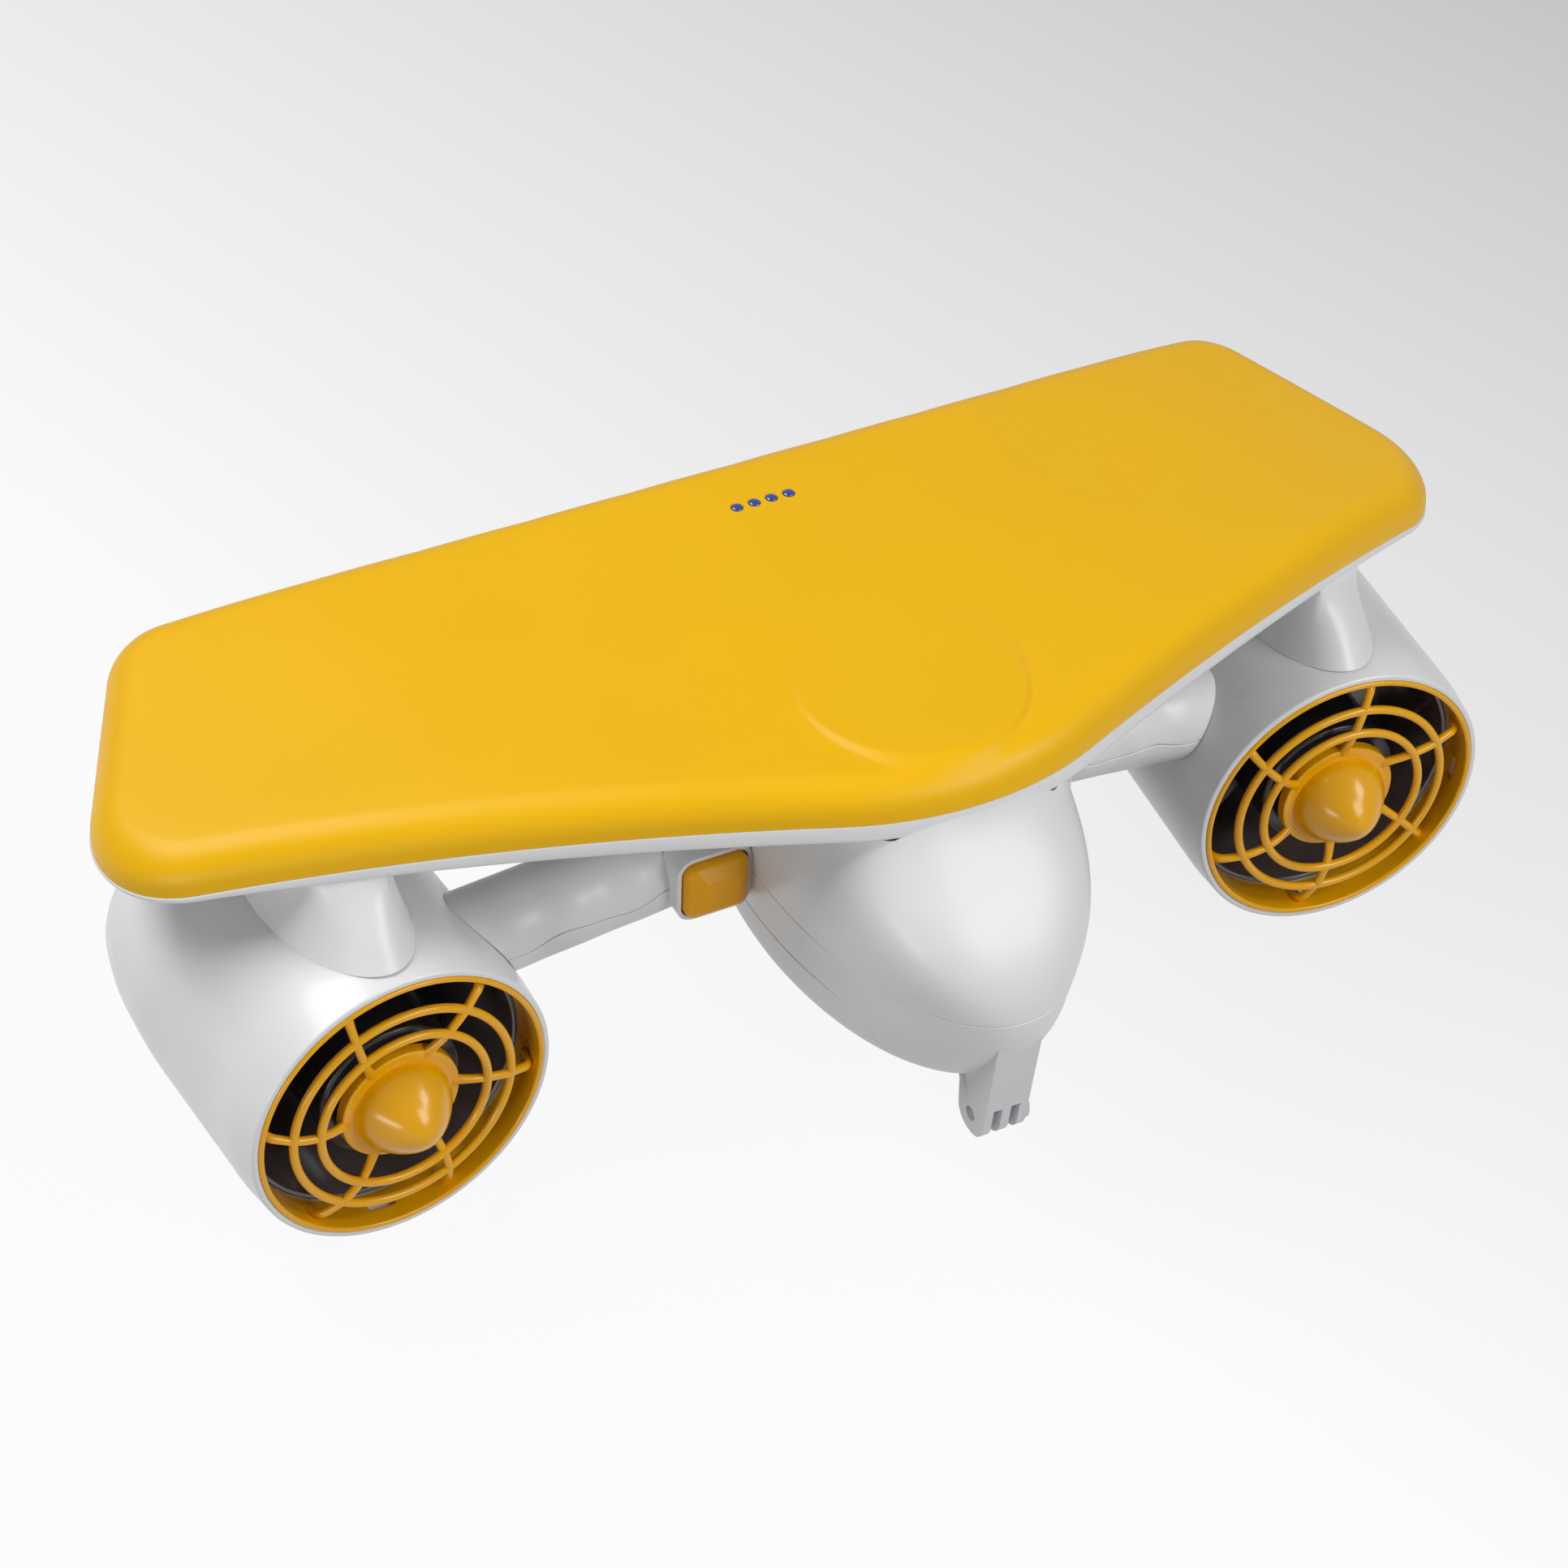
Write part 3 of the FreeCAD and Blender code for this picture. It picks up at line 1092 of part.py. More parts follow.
# Two ducted thrusters, the right one with its propeller handed the other way
for side, sign in SIDES.items():
    nacelle = turned("nacelle_" + side, nacelle_curve("") + [
        (s("exhaust_radius"), s("nacelle_length"), "0.8"), (s("exhaust_radius"), s("exhaust_start")),
        (s("liner_bore_radius"), "Sizes.liner_end + Sizes.seat_gap"),
        (LINER_OUTER + " + Sizes.seat_gap", "Sizes.liner_end + Sizes.seat_gap"),
        (LINER_OUTER + " + Sizes.seat_gap", "Sizes.collar_depth + Sizes.seat_gap"),
        ("Sizes.collar_radius + Sizes.seat_gap", "Sizes.collar_depth + Sizes.seat_gap"),
        ("Sizes.collar_radius + Sizes.seat_gap", "0")])
    keep(at_thruster(nacelle, side), side + "_nacelle")

    LINER_FRONT = "Sizes.collar_depth + 2 * Sizes.seat_gap"
    liner = turned("liner_" + side, [(s("liner_bore_radius"), LINER_FRONT + " + 0.8"),
                                     ("Sizes.liner_bore_radius + 0.8", LINER_FRONT),
                                     (LINER_OUTER, LINER_FRONT),
                                     (LINER_OUTER, s("liner_end")), (s("liner_bore_radius"), s("liner_end"))])
    keep(at_thruster(liner, side), side + "_duct_liner")

    grille = new_body("grille_form_" + side)
    hub = outline(new_sketch(grille, "grille_hub_" + side, "XY_Plane"), [
        ("0", "-" + s("nose_reach")), (s("nose_radius"), "-" + s("nose_reach"), "Sizes.nose_radius - 0.3"),
        (s("nose_radius"), "1.3"), (s("grille_hub_radius"), "1.3", "0.8"),
        (s("grille_hub_radius"), s("grille_hub_back"), "0.8"), (s("hub_hollow_radius"), s("grille_hub_back")),
        (s("hub_hollow_radius"), "-4", "3"), ("0", "-4")])
    revolve(grille, "grille_nose_" + side, hub)
    spoke_path = outline(new_sketch(grille, "spoke_path_" + side, "XY_Plane"), [
        ("18", "2.4"), (s("grille_inner_ring_radius"), "-1.2", "30"), (s("grille_ring_radius"), "0", "24"),
        ("45", "2.6", "5"), ("Sizes.collar_bore_radius + 0.3", "9")], "p", False)
    spoke_section = new_sketch(grille, "spoke_section_" + side, "YZ_Plane", "18")
    circle(spoke_section, s("grille_bar"), "2.4", "0")
    spoke = add(grille, "PartDesign::AdditivePipe", "spoke_" + side, Profile=spoke_section)
    spoke.Spine = (spoke_path, [])
    polar(grille, "spokes_" + side, spoke, 6)
    for ring, radius, depth in (("outer", s("grille_ring_radius"), "0"),
                                ("inner", s("grille_inner_ring_radius"), "-1")):
        section = circle(new_sketch(grille, "%s_ring_%s" % (ring, side), "XY_Plane"), s("grille_bar"),
                         radius, depth)
        revolve(grille, "%s_torus_%s" % (ring, side), section)
    collar = outline(new_sketch(grille, "collar_" + side, "XY_Plane"), [
        (s("collar_bore_radius"), "-0.6", "0.85"), (s("collar_radius"), "-0.6", "0.85"),
        (s("collar_radius"), s("collar_depth")), (s("collar_bore_radius"), s("collar_depth"))])
    revolve(grille, "collar_turned_" + side, collar)
    if sign > 0:
        place(grille, "0", "0", "0", Y_AXIS, s("spoke_phase_right"))
    windows = new_body("windows_" + side)
    window = bar_block(windows, "window_" + side, "Sizes.collar_bore_radius - 2", "Sizes.collar_radius + 2",
                       "Sizes.window_depth - Sizes.window_length / 2",
                       "Sizes.window_depth + Sizes.window_length / 2",
                       s("window_width"))
    polar(windows, "window_ring_" + side, window, 4)
    place(windows, "0", "0", "0", Y_AXIS, s("window_phase"))
    keep(at_thruster(cut("grille_cut_" + side, grille, windows), side), side + "_grille")

    prop_hub = turned("prop_hub_" + side, [
        (SHAFT_HOLE, s("prop_front")), (s("prop_hub_radius"), s("prop_front"), "1.5"),
        (s("prop_hub_radius"), s("prop_back"), "0.6"), (HUB_INNER, s("prop_back")),
        (HUB_INNER, "Sizes.prop_front + Sizes.prop_wall"),
        (SHAFT_HOLE, "Sizes.prop_front + Sizes.prop_wall")])
    blades = [blade("blade%d_%s" % (i, side), turn) for i, turn in enumerate((None, "120", "240"))]
    sweep = make("Part::Cylinder", "blade_sweep_" + side, Radius=s("blade_tip_radius"), Height="90")
    place(sweep, "0", "0", "0", Vector(-1, 0, 0), "90")
    blade_set = common("blade_set_" + side, [fuse("blade_join_" + side, blades), sweep])
    if sign > 0:
        mirrored = make("Part::Mirroring", "blades_mirrored", Source=blade_set, Normal=X_AXIS)
        blade_set = mirrored
    keep(at_thruster(fuse("prop_join_" + side, [prop_hub, blade_set]), side), side + "_propeller")

    bell = turned("bell_" + side, [
        (SHAFT_HOLE, BELL_FRONT), (BELL_OUTER, BELL_FRONT, "0.6"), (BELL_OUTER, s("bell_back")),
        (BELL_INNER, s("bell_back")),
        (BELL_INNER, BELL_FRONT + " + Sizes.bell_wall"), ("5.5", BELL_FRONT + " + Sizes.bell_wall"),
        ("5.5", "Sizes.carrier_front - 1"), (SHAFT_HOLE, "Sizes.carrier_front - 1")])
    keep(at_thruster(bell, side), side + "_rotor_bell")

    magnets = turned("magnets_" + side, [
        (MAGNET_INNER, s("magnet_front")), (MAGNET_OUTER, s("magnet_front")),
        (MAGNET_OUTER, "Sizes.magnet_front + Sizes.magnet_length"),
        (MAGNET_INNER, "Sizes.magnet_front + Sizes.magnet_length")])
    groove = bar_block(magnets, "magnet_groove_" + side, MAGNET_INNER + " - 1", MAGNET_OUTER + " - 0.6",
                       "Sizes.magnet_front - 1", "Sizes.magnet_front + Sizes.magnet_length + 1", "0.8",
                       "PartDesign::Pocket")
    polar(magnets, "magnet_grooves_" + side, groove, 14)
    keep(at_thruster(magnets, side), side + "_rotor_magnets")

    shaft = turned("shaft_" + side, [("0", "-1.5"), ("Sizes.shaft_radius - 0.6", "-1.5"),
                                     (s("shaft_radius"), "-0.9"),
                                     (s("shaft_radius"), REAR_BEARING + " + Sizes.bearing_width + 2"),
                                     ("0", REAR_BEARING + " + Sizes.bearing_width + 2")])
    keep(at_thruster(shaft, side), side + "_motor_shaft")
    nut = hex_ring("prop_nut_" + side, "10", "4.6", SHAFT_HOLE, Vector(-1, 0, 0), "0",
                   "Sizes.prop_front - Sizes.seat_gap - 4.6")
    keep(at_thruster(group("prop_nut_set_" + side, [nut]), side), side + "_prop_nut")

    CORE_FRONT = STATOR_MIDDLE + " - Sizes.stator_length / 2"
    CORE_BACK = STATOR_MIDDLE + " + Sizes.stator_length / 2"
    INSULATOR_FRONT = CORE_FRONT + " - Sizes.insulator_depth"
    INSULATOR_BACK = CORE_BACK + " + Sizes.insulator_depth"
    inner, outer = s("insulator_inner"), s("insulator_outer")
    stator = turned("stator_" + side, [
        (STATOR_INNER, CORE_FRONT), (inner, CORE_FRONT), (inner, INSULATOR_FRONT, "1"),
        (outer, INSULATOR_FRONT, "1"), (outer, CORE_FRONT), (STATOR_OUTER, CORE_FRONT),
        (STATOR_OUTER, CORE_BACK), (outer, CORE_BACK), (outer, INSULATOR_BACK, "1"),
        (inner, INSULATOR_BACK, "1"), (inner, CORE_BACK), (STATOR_INNER, CORE_BACK)])
    slot = bar_block(stator, "stator_slot_" + side, "15", "Sizes.prop_hub_radius",
                     "Sizes.magnet_front - 4", "Sizes.magnet_front + Sizes.magnet_length + 4", "1.8",
                     "PartDesign::Pocket")
    polar(stator, "stator_slots_" + side, slot, 9)
    keep(at_thruster(stator, side), side + "_motor_stator")

    CARRIER_STOP = FRONT_BEARING + " + Sizes.bearing_width + 0.1"
    mount_hub = turned("mount_hub_" + side, [
        ("5.2", CARRIER_STOP), (BEARING_SEAT, CARRIER_STOP),
        (BEARING_SEAT, s("carrier_front")), (s("carrier_radius"), s("carrier_front")),
        (s("carrier_radius"), s("mount_front"), "2"), (s("mount_hub_radius"), s("mount_front"), "1.2"),
        (s("mount_hub_radius"), s("mount_back")), (BEARING_SEAT, s("mount_back")),
        (BEARING_SEAT, REAR_BEARING + " - 0.1"), ("5.2", REAR_BEARING + " - 0.1")])
    vane = bar_block(mount_hub, "vane_" + side, "Sizes.mount_hub_radius - 3",
                     "Sizes.liner_bore_radius - Sizes.seat_gap",
                     "Sizes.mount_back - Sizes.vane_length - 0.5", "Sizes.mount_back - 0.5",
                     s("vane_thickness"))
    polar(mount_hub, "vanes_" + side, vane, 5)
    keep(at_thruster(mount_hub, side), side + "_motor_mount")

    TAIL_FRONT = "Sizes.mount_back + Sizes.seat_gap"
    SPIGOT = REAR_BEARING + " + Sizes.bearing_width + 4"
    tail = turned("tail_" + side, [
        ("0", SPIGOT), (s("bearing_radius"), SPIGOT), (s("bearing_radius"), TAIL_FRONT),
        (s("mount_hub_radius"), TAIL_FRONT), ("Sizes.mount_hub_radius - 4", "Sizes.tail_tip - 1", "9"),
        ("0", s("tail_tip"))])
    keep(at_thruster(tail, side), side + "_tail_cone")

    rings = [turned("bearing_%s_%s" % (end, side), [
        ("Sizes.shaft_radius + Sizes.shaft_clearance", depth), (s("bearing_radius"), depth),
        (s("bearing_radius"), depth + " + Sizes.bearing_width"),
        ("Sizes.shaft_radius + Sizes.shaft_clearance", depth + " + Sizes.bearing_width")])
        for end, depth in (("front", FRONT_BEARING), ("rear", REAR_BEARING))]
    keep(at_thruster(group("bearing_set_" + side, rings), side), side + "_bearings")
    seal = turned("shaft_seal_ring_" + side, [
        ("Sizes.shaft_radius + Sizes.shaft_clearance", "Sizes.carrier_front + 0.1"),
        (s("bearing_radius"), "Sizes.carrier_front + 0.1"), (s("bearing_radius"), SEAL_BACK),
        ("Sizes.shaft_radius + Sizes.shaft_clearance", SEAL_BACK)])
    keep(at_thruster(seal, side), side + "_shaft_seal")

    guard = turned("guard_ring_" + side, [
        ("Sizes.exhaust_radius - 2.2", "Sizes.guard_depth - 1.7"),
        ("Sizes.exhaust_radius - Sizes.seat_gap", "Sizes.guard_depth - 1.7"),
        ("Sizes.exhaust_radius - Sizes.seat_gap", "Sizes.guard_depth + 1.7"),
        ("Sizes.exhaust_radius - 2.2", "Sizes.guard_depth + 1.7")])
    guard_bar = bar_block(guard, "guard_bar_" + side, "14", "Sizes.exhaust_radius - 1",
                          "Sizes.guard_depth - 1",
                          "Sizes.guard_depth + 1", "2")
    polar(guard, "guard_bars_" + side, guard_bar, 6)
    eye = box_outline(new_sketch(guard, "guard_eye_" + side, "XY_Plane"), "13", "15.4",
                      "Sizes.guard_depth - 1.4",
                      "Sizes.guard_depth + 1.4")
    revolve(guard, "guard_eye_ring_" + side, eye)
    keep(at_thruster(guard, side), side + "_exhaust_guard")

doc.recompute()
for feature in doc.Objects:
    assert "Invalid" not in feature.State and "Error" not in feature.State, feature.Label
os.makedirs("parts", exist_ok=True)
for feature in nodes:
    assert not feature.Shape.isNull() and feature.Shape.isValid(), feature.Label
    assert len(feature.Shape.Solids) > 0, feature.Label
    feature.Shape.exportStep("parts/%s.step" % feature.Label)
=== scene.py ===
# An underwater scooter: two ducted thrusters under an arched float deck, with a
# battery pod and two trigger handles between them. Lengths are written in
# millimetres from the middle of the line between the two grille rims.
import bmesh
import bpy
import math
import numpy as np
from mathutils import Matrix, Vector
from mathutils.geometry import delaunay_2d_cdt


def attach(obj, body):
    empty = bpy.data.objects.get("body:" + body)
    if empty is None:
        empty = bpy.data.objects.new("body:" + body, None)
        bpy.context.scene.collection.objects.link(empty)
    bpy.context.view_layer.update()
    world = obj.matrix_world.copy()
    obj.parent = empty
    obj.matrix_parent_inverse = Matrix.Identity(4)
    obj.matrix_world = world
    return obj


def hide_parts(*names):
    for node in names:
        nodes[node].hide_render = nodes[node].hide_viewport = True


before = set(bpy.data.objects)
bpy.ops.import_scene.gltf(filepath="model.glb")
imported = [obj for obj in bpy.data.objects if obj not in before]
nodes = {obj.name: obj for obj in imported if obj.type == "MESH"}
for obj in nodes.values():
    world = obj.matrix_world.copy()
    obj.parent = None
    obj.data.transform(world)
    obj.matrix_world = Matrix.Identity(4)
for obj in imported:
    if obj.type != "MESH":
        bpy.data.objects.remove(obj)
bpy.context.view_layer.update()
DATUM = np.array((0.0, -34.0, 51.8))

# Studio: a pale floor that fades from white to a painted shade of grey towards the right, a broad
# lamp over the deck, two smaller ones towards the front right and a weak one on the left, in a dim white
# room.
scene = bpy.context.scene
scene.view_settings.view_transform = "Standard"
camera_data = bpy.data.cameras.new("studio_camera")
camera_data.sensor_width = 36.0
camera_data.lens = 98.22
camera_data.clip_start = 0.05
camera_data.clip_end = 60.0
studio_camera = bpy.data.objects.new("studio_camera", camera_data)
studio_camera.location = (-0.50834, -0.87839, 0.97315)
studio_camera.rotation_euler = (math.radians(48.9714), math.radians(-2.0549), math.radians(-27.1304))
scene.collection.objects.link(studio_camera)
scene.camera = studio_camera

room = bpy.data.worlds.new("white_room")
room.use_nodes = True
room_light = room.node_tree.nodes["Background"]
room_light.inputs["Color"].default_value = (1.0, 1.0, 1.0, 1.0)
room_light.inputs["Strength"].default_value = 0.08
backdrop = room.node_tree.nodes.new("ShaderNodeBackground")
backdrop.inputs["Color"].default_value = (0.60, 0.60, 0.60, 1.0)


def wire(tree, *links):
    """Link nodes, each link given as (node, its output, next node, its input)."""
    for source, output, target, entry in links:
        tree.links.new(source.outputs[output], target.inputs[entry])


def seen_directly(tree):
    """Node that gives 1 for camera, glossy and transmission rays, so that gloss shows a pale room too."""
    path = tree.nodes.new("ShaderNodeLightPath")
    first = tree.nodes.new("ShaderNodeMath")
    second = tree.nodes.new("ShaderNodeMath")
    first.operation = "MAXIMUM"
    second.operation = "MAXIMUM"
    wire(tree, (path, "Is Camera Ray", first, 0), (path, "Is Glossy Ray", first, 1),
         (first, 0, second, 0), (path, "Is Transmission Ray", second, 1))
    return second


room_mix = room.node_tree.nodes.new("ShaderNodeMixShader")
wire(room.node_tree, (seen_directly(room.node_tree), 0, room_mix, "Fac"), (room_light, 0, room_mix, 1),
     (backdrop, 0, room_mix, 2), (room_mix, 0, room.node_tree.nodes["World Output"], "Surface"))
scene.world = room


def softbox(name, place, target, width, height, watts):
    """Rectangular lamp aimed at a point."""
    data = bpy.data.lights.new(name, "AREA")
    data.shape = "RECTANGLE"
    data.size = width
    data.size_y = height
    data.energy = watts
    lamp = bpy.data.objects.new(name, data)
    lamp.location = place
    lamp.rotation_euler = (Vector(target) - Vector(place)).to_track_quat("-Z", "Y").to_euler()
    scene.collection.objects.link(lamp)


softbox("deck_softbox", (-0.85, 0.50, 1.55), (0.0, 0.0, 0.1), 1.4, 0.9, 22.5)
softbox("front_softbox", (0.45, -1.25, 0.85), (0.0, 0.0, 0.06), 0.7, 0.5, 8.0)
softbox("right_softbox", (0.95, -0.85, 1.15), (0.1, 0.0, 0.06), 0.5, 0.5, 6.5)
softbox("left_softbox", (-1.30, -0.80, 0.10), (0.0, 0.0, 0.03), 0.7, 0.16, 4.0)

FLOOR_REACH, FLOOR_LEVEL = 9.0, -0.0004
floor_mesh = bpy.data.meshes.new("studio_floor")
floor_mesh.from_pydata([(x * FLOOR_REACH, y * FLOOR_REACH, FLOOR_LEVEL)
                        for x, y in ((-1, -1), (1, -1), (1, 1), (-1, 1))], [], [(0, 1, 2, 3)])
studio_floor = bpy.data.objects.new("studio_floor", floor_mesh)
scene.collection.objects.link(studio_floor)
floor_paint = bpy.data.materials.new("studio_floor_paint")
floor_paint.use_nodes = True
tree = floor_paint.node_tree
tree.nodes.clear()
out = tree.nodes.new("ShaderNodeOutputMaterial")
matt = tree.nodes.new("ShaderNodeBsdfDiffuse")
glow = tree.nodes.new("ShaderNodeEmission")
blend = tree.nodes.new("ShaderNodeMixShader")
glow.inputs["Strength"].default_value = 1.08
where = tree.nodes.new("ShaderNodeTexCoord")
turn = tree.nodes.new("ShaderNodeMapping")
# Painted shade: the floor's glow fades from white to grey towards the right, standing in for the backdrop's
# fall of light.
painted_backdrop_shade = tree.nodes.new("ShaderNodeTexGradient")
painted_shade_ramp = tree.nodes.new("ShaderNodeValToRGB")
share = tree.nodes.new("ShaderNodeMath")
turn.inputs["Location"].default_value = (0.06, 0.0, 0.0)
turn.inputs["Rotation"].default_value = (0.0, 0.0, math.radians(-20.0))
turn.inputs["Scale"].default_value = (1.35, 1.35, 1.35)
painted_shade_ramp.color_ramp.elements[0].position = 0.0
painted_shade_ramp.color_ramp.elements[0].color = (1.0, 1.0, 1.0, 1.0)
painted_shade_ramp.color_ramp.elements[1].position = 1.0
painted_shade_ramp.color_ramp.elements[1].color = (0.58, 0.58, 0.58, 1.0)
share.operation = "MULTIPLY"
share.inputs[1].default_value = 0.86
matt.inputs["Color"].default_value = (0.30, 0.30, 0.30, 1.0)
wire(tree, (where, "Object", turn, "Vector"), (turn, "Vector", painted_backdrop_shade, "Vector"), (painted_backdrop_shade, "Fac", painted_shade_ramp, "Fac"),
     (painted_shade_ramp, "Color", glow, "Color"), (seen_directly(tree), 0, share, 0), (share, "Value", blend, "Fac"),
     (matt, "BSDF", blend, 1), (glow, "Emission", blend, 2), (blend, "Shader", out, "Surface"))
floor_mesh.materials.append(floor_paint)

# Yellow float cover: one moulded skin with a boldly rounded edge, satin and finely
# grained, with a raised thumb step. It sits on the tray and is screwed from below.
moulded = bpy.data.node_groups.new("moulded_skin", "ShaderNodeTree")
for name, kind, value in (("Colour", "NodeSocketColor", (1, 1, 1, 1)),
                          ("Mottle", "NodeSocketFloat", 0.03),
                          ("Grain Scale", "NodeSocketFloat", 1800.0),
                          ("Rough", "NodeSocketFloat", 0.4),
                          ("Rough Spread", "NodeSocketFloat", 0.05)):
    socket = moulded.interface.new_socket(name, in_out="INPUT", socket_type=kind)
    socket.default_value = value
for name, kind in (("Colour", "NodeSocketColor"), ("Roughness", "NodeSocketFloat"),
                   ("Height", "NodeSocketFloat")):
    moulded.interface.new_socket(name, in_out="OUTPUT", socket_type=kind)
inside = moulded.nodes.new("NodeGroupInput")
outside = moulded.nodes.new("NodeGroupOutput")
place = moulded.nodes.new("ShaderNodeTexCoord")
grain = moulded.nodes.new("ShaderNodeTexNoise")
grain.inputs["Detail"].default_value = 3.0
cloud = moulded.nodes.new("ShaderNodeTexNoise")
cloud.inputs["Scale"].default_value = 14.0
cloud.inputs["Detail"].default_value = 4.0
spread = moulded.nodes.new("ShaderNodeMapRange")
for name, value in (("From Min", 0.3), ("From Max", 0.7), ("To Min", -1.0), ("To Max", 1.0)):
    spread.inputs[name].default_value = value
tint = moulded.nodes.new("ShaderNodeMath")
tint.operation = "MULTIPLY"
shade = moulded.nodes.new("ShaderNodeMath")
shade.operation = "ADD"
shade.inputs[1].default_value = 1.0
colour = moulded.nodes.new("ShaderNodeHueSaturation")
gloss = moulded.nodes.new("ShaderNodeMath")
gloss.operation = "MULTIPLY_ADD"
wire(moulded, (place, "Object", grain, "Vector"), (place, "Object", cloud, "Vector"),
     (inside, "Grain Scale", grain, "Scale"), (cloud, "Fac", spread, "Value"),
     (spread, "Result", tint, 0), (inside, "Mottle", tint, 1), (tint, "Value", shade, 0),
     (inside, "Colour", colour, "Color"), (shade, "Value", colour, "Value"),
     (spread, "Result", gloss, 0), (inside, "Rough Spread", gloss, 1), (inside, "Rough", gloss, 2),
     (colour, "Color", outside, "Colour"), (gloss, "Value", outside, "Roughness"),
     (grain, "Fac", outside, "Height"))


def moulding(name, colour, rough, grain_scale, depth, mottle, rough_spread, coat=0.0, metallic=0.0,
             specular=0.5):
    """Material for a moulded or machined piece: grain, faint mottling and a shader of its own."""
    material = bpy.data.materials.new(name)
    material.use_nodes = True
    tree = material.node_tree
    shader = tree.nodes["Principled BSDF"]
    skin = tree.nodes.new("ShaderNodeGroup")
    skin.node_tree = moulded
    for entry, value in (("Colour", (*colour, 1.0)), ("Mottle", mottle), ("Grain Scale", grain_scale),
                         ("Rough", rough), ("Rough Spread", rough_spread)):
        skin.inputs[entry].default_value = value
    bump = tree.nodes.new("ShaderNodeBump")
    bump.inputs["Distance"].default_value = depth
    bump.inputs["Strength"].default_value = 1.0
    wire(tree, (skin, "Colour", shader, "Base Color"), (skin, "Roughness", shader, "Roughness"),
         (skin, "Height", bump, "Height"), (bump, "Normal", shader, "Normal"))
    for entry, value in (("Metallic", metallic), ("Specular IOR Level", specular), ("Coat Weight", coat),
                         ("Coat Roughness", 0.12)):
        shader.inputs[entry].default_value = value
    return material


def face_outwards(draft):
    """Turn every closed island of a mesh so that its faces look outwards."""
    bmesh.ops.recalc_face_normals(draft, faces=draft.faces)
    left = set(draft.faces)
    while left:
        island = [left.pop()]
        for face in island:
            for edge in face.edges:
                for other in edge.link_faces:
                    if other in left:
                        left.remove(other)
                        island.append(other)
        volume = 0.0
        for face in island:
            corners = [v.co for v in face.verts]
            for k in range(1, len(corners) - 1):
                volume += corners[0].dot(corners[k].cross(corners[k + 1]))
        if volume < 0:
            bmesh.ops.reverse_faces(draft, faces=island)


def show(name, points, faces, material, body, replaced, sharp=34.0):
    """Make a piece from a mesh given in millimetres: doubles merged, smooth but for its sharp edges.
    """
    draft = bmesh.new()
    corners = [draft.verts.new(tuple(p)) for p in (np.asarray(points, float) + DATUM) / 1000.0]
    for face in faces:
        try:
            draft.faces.new([corners[i] for i in face])
        except ValueError:
            continue
    bmesh.ops.remove_doubles(draft, verts=draft.verts, dist=0.000004)
    face_outwards(draft)
    mesh = bpy.data.meshes.new(name)
    draft.to_mesh(mesh)
    draft.free()
    mesh.shade_smooth()
    mesh.set_sharp_from_angle(angle=math.radians(sharp))
    mesh.materials.append(material)
    piece = bpy.data.objects.new(name, mesh)
    scene.collection.objects.link(piece)
    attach(piece, body)
    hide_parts(*replaced)
    return piece


def cut_out(piece, points, faces, sharp=34.0):
    """Cut a closed tool, given in millimetres, out of a piece."""
    tool_mesh = bpy.data.meshes.new(piece.name + "_tool")
    tool_mesh.from_pydata([tuple(p) for p in (np.asarray(points, float) + DATUM) / 1000.0], [], faces)
    tool = bpy.data.objects.new(piece.name + "_tool", tool_mesh)
    scene.collection.objects.link(tool)
    boolean = piece.modifiers.new("cut", "BOOLEAN")
    boolean.operation = "DIFFERENCE"
    boolean.solver = "EXACT"
    boolean.object = tool
    ready = bpy.context.evaluated_depsgraph_get()
    result = bpy.data.meshes.new_from_object(piece.evaluated_get(ready))
    result.name = piece.name
    piece.modifiers.remove(boolean)
    bpy.data.objects.remove(tool)
    piece.data = result
    result.shade_smooth()
    result.set_sharp_from_angle(angle=math.radians(sharp))


def round_turns(count):
    """Angles spread evenly round a circle."""
    return np.linspace(0, 2 * math.pi, count, endpoint=False)


def band(count, a, b):
    """Quads between two rings of points whose numbers start at a and b."""
    return [(a + i, a + (i + 1) % count, b + (i + 1) % count, b + i) for i in range(count)]


def bands(count, rows, closed=False):
    """Quads between rings that follow each other, the last joined to the first if closed."""
    faces = []
    for k in range(rows if closed else rows - 1):
        faces += band(count, k * count, (k + 1) % rows * count)
    return faces


def pins(places, radius, low, high, sides=40):
    """Closed upright cylinders at some places, as one tool."""
    points, faces = [], []
    for x, y in places:
        base = len(points)
        for z in (low, high):
            points += [(x + radius * math.cos(a), y + radius * math.sin(a), z)
                       for a in round_turns(sides)]
        faces.append(tuple(base + i for i in range(sides))[::-1])
        faces.append(tuple(base + sides + i for i in range(sides)))
        faces += band(sides, base, base + sides)
    return points, faces


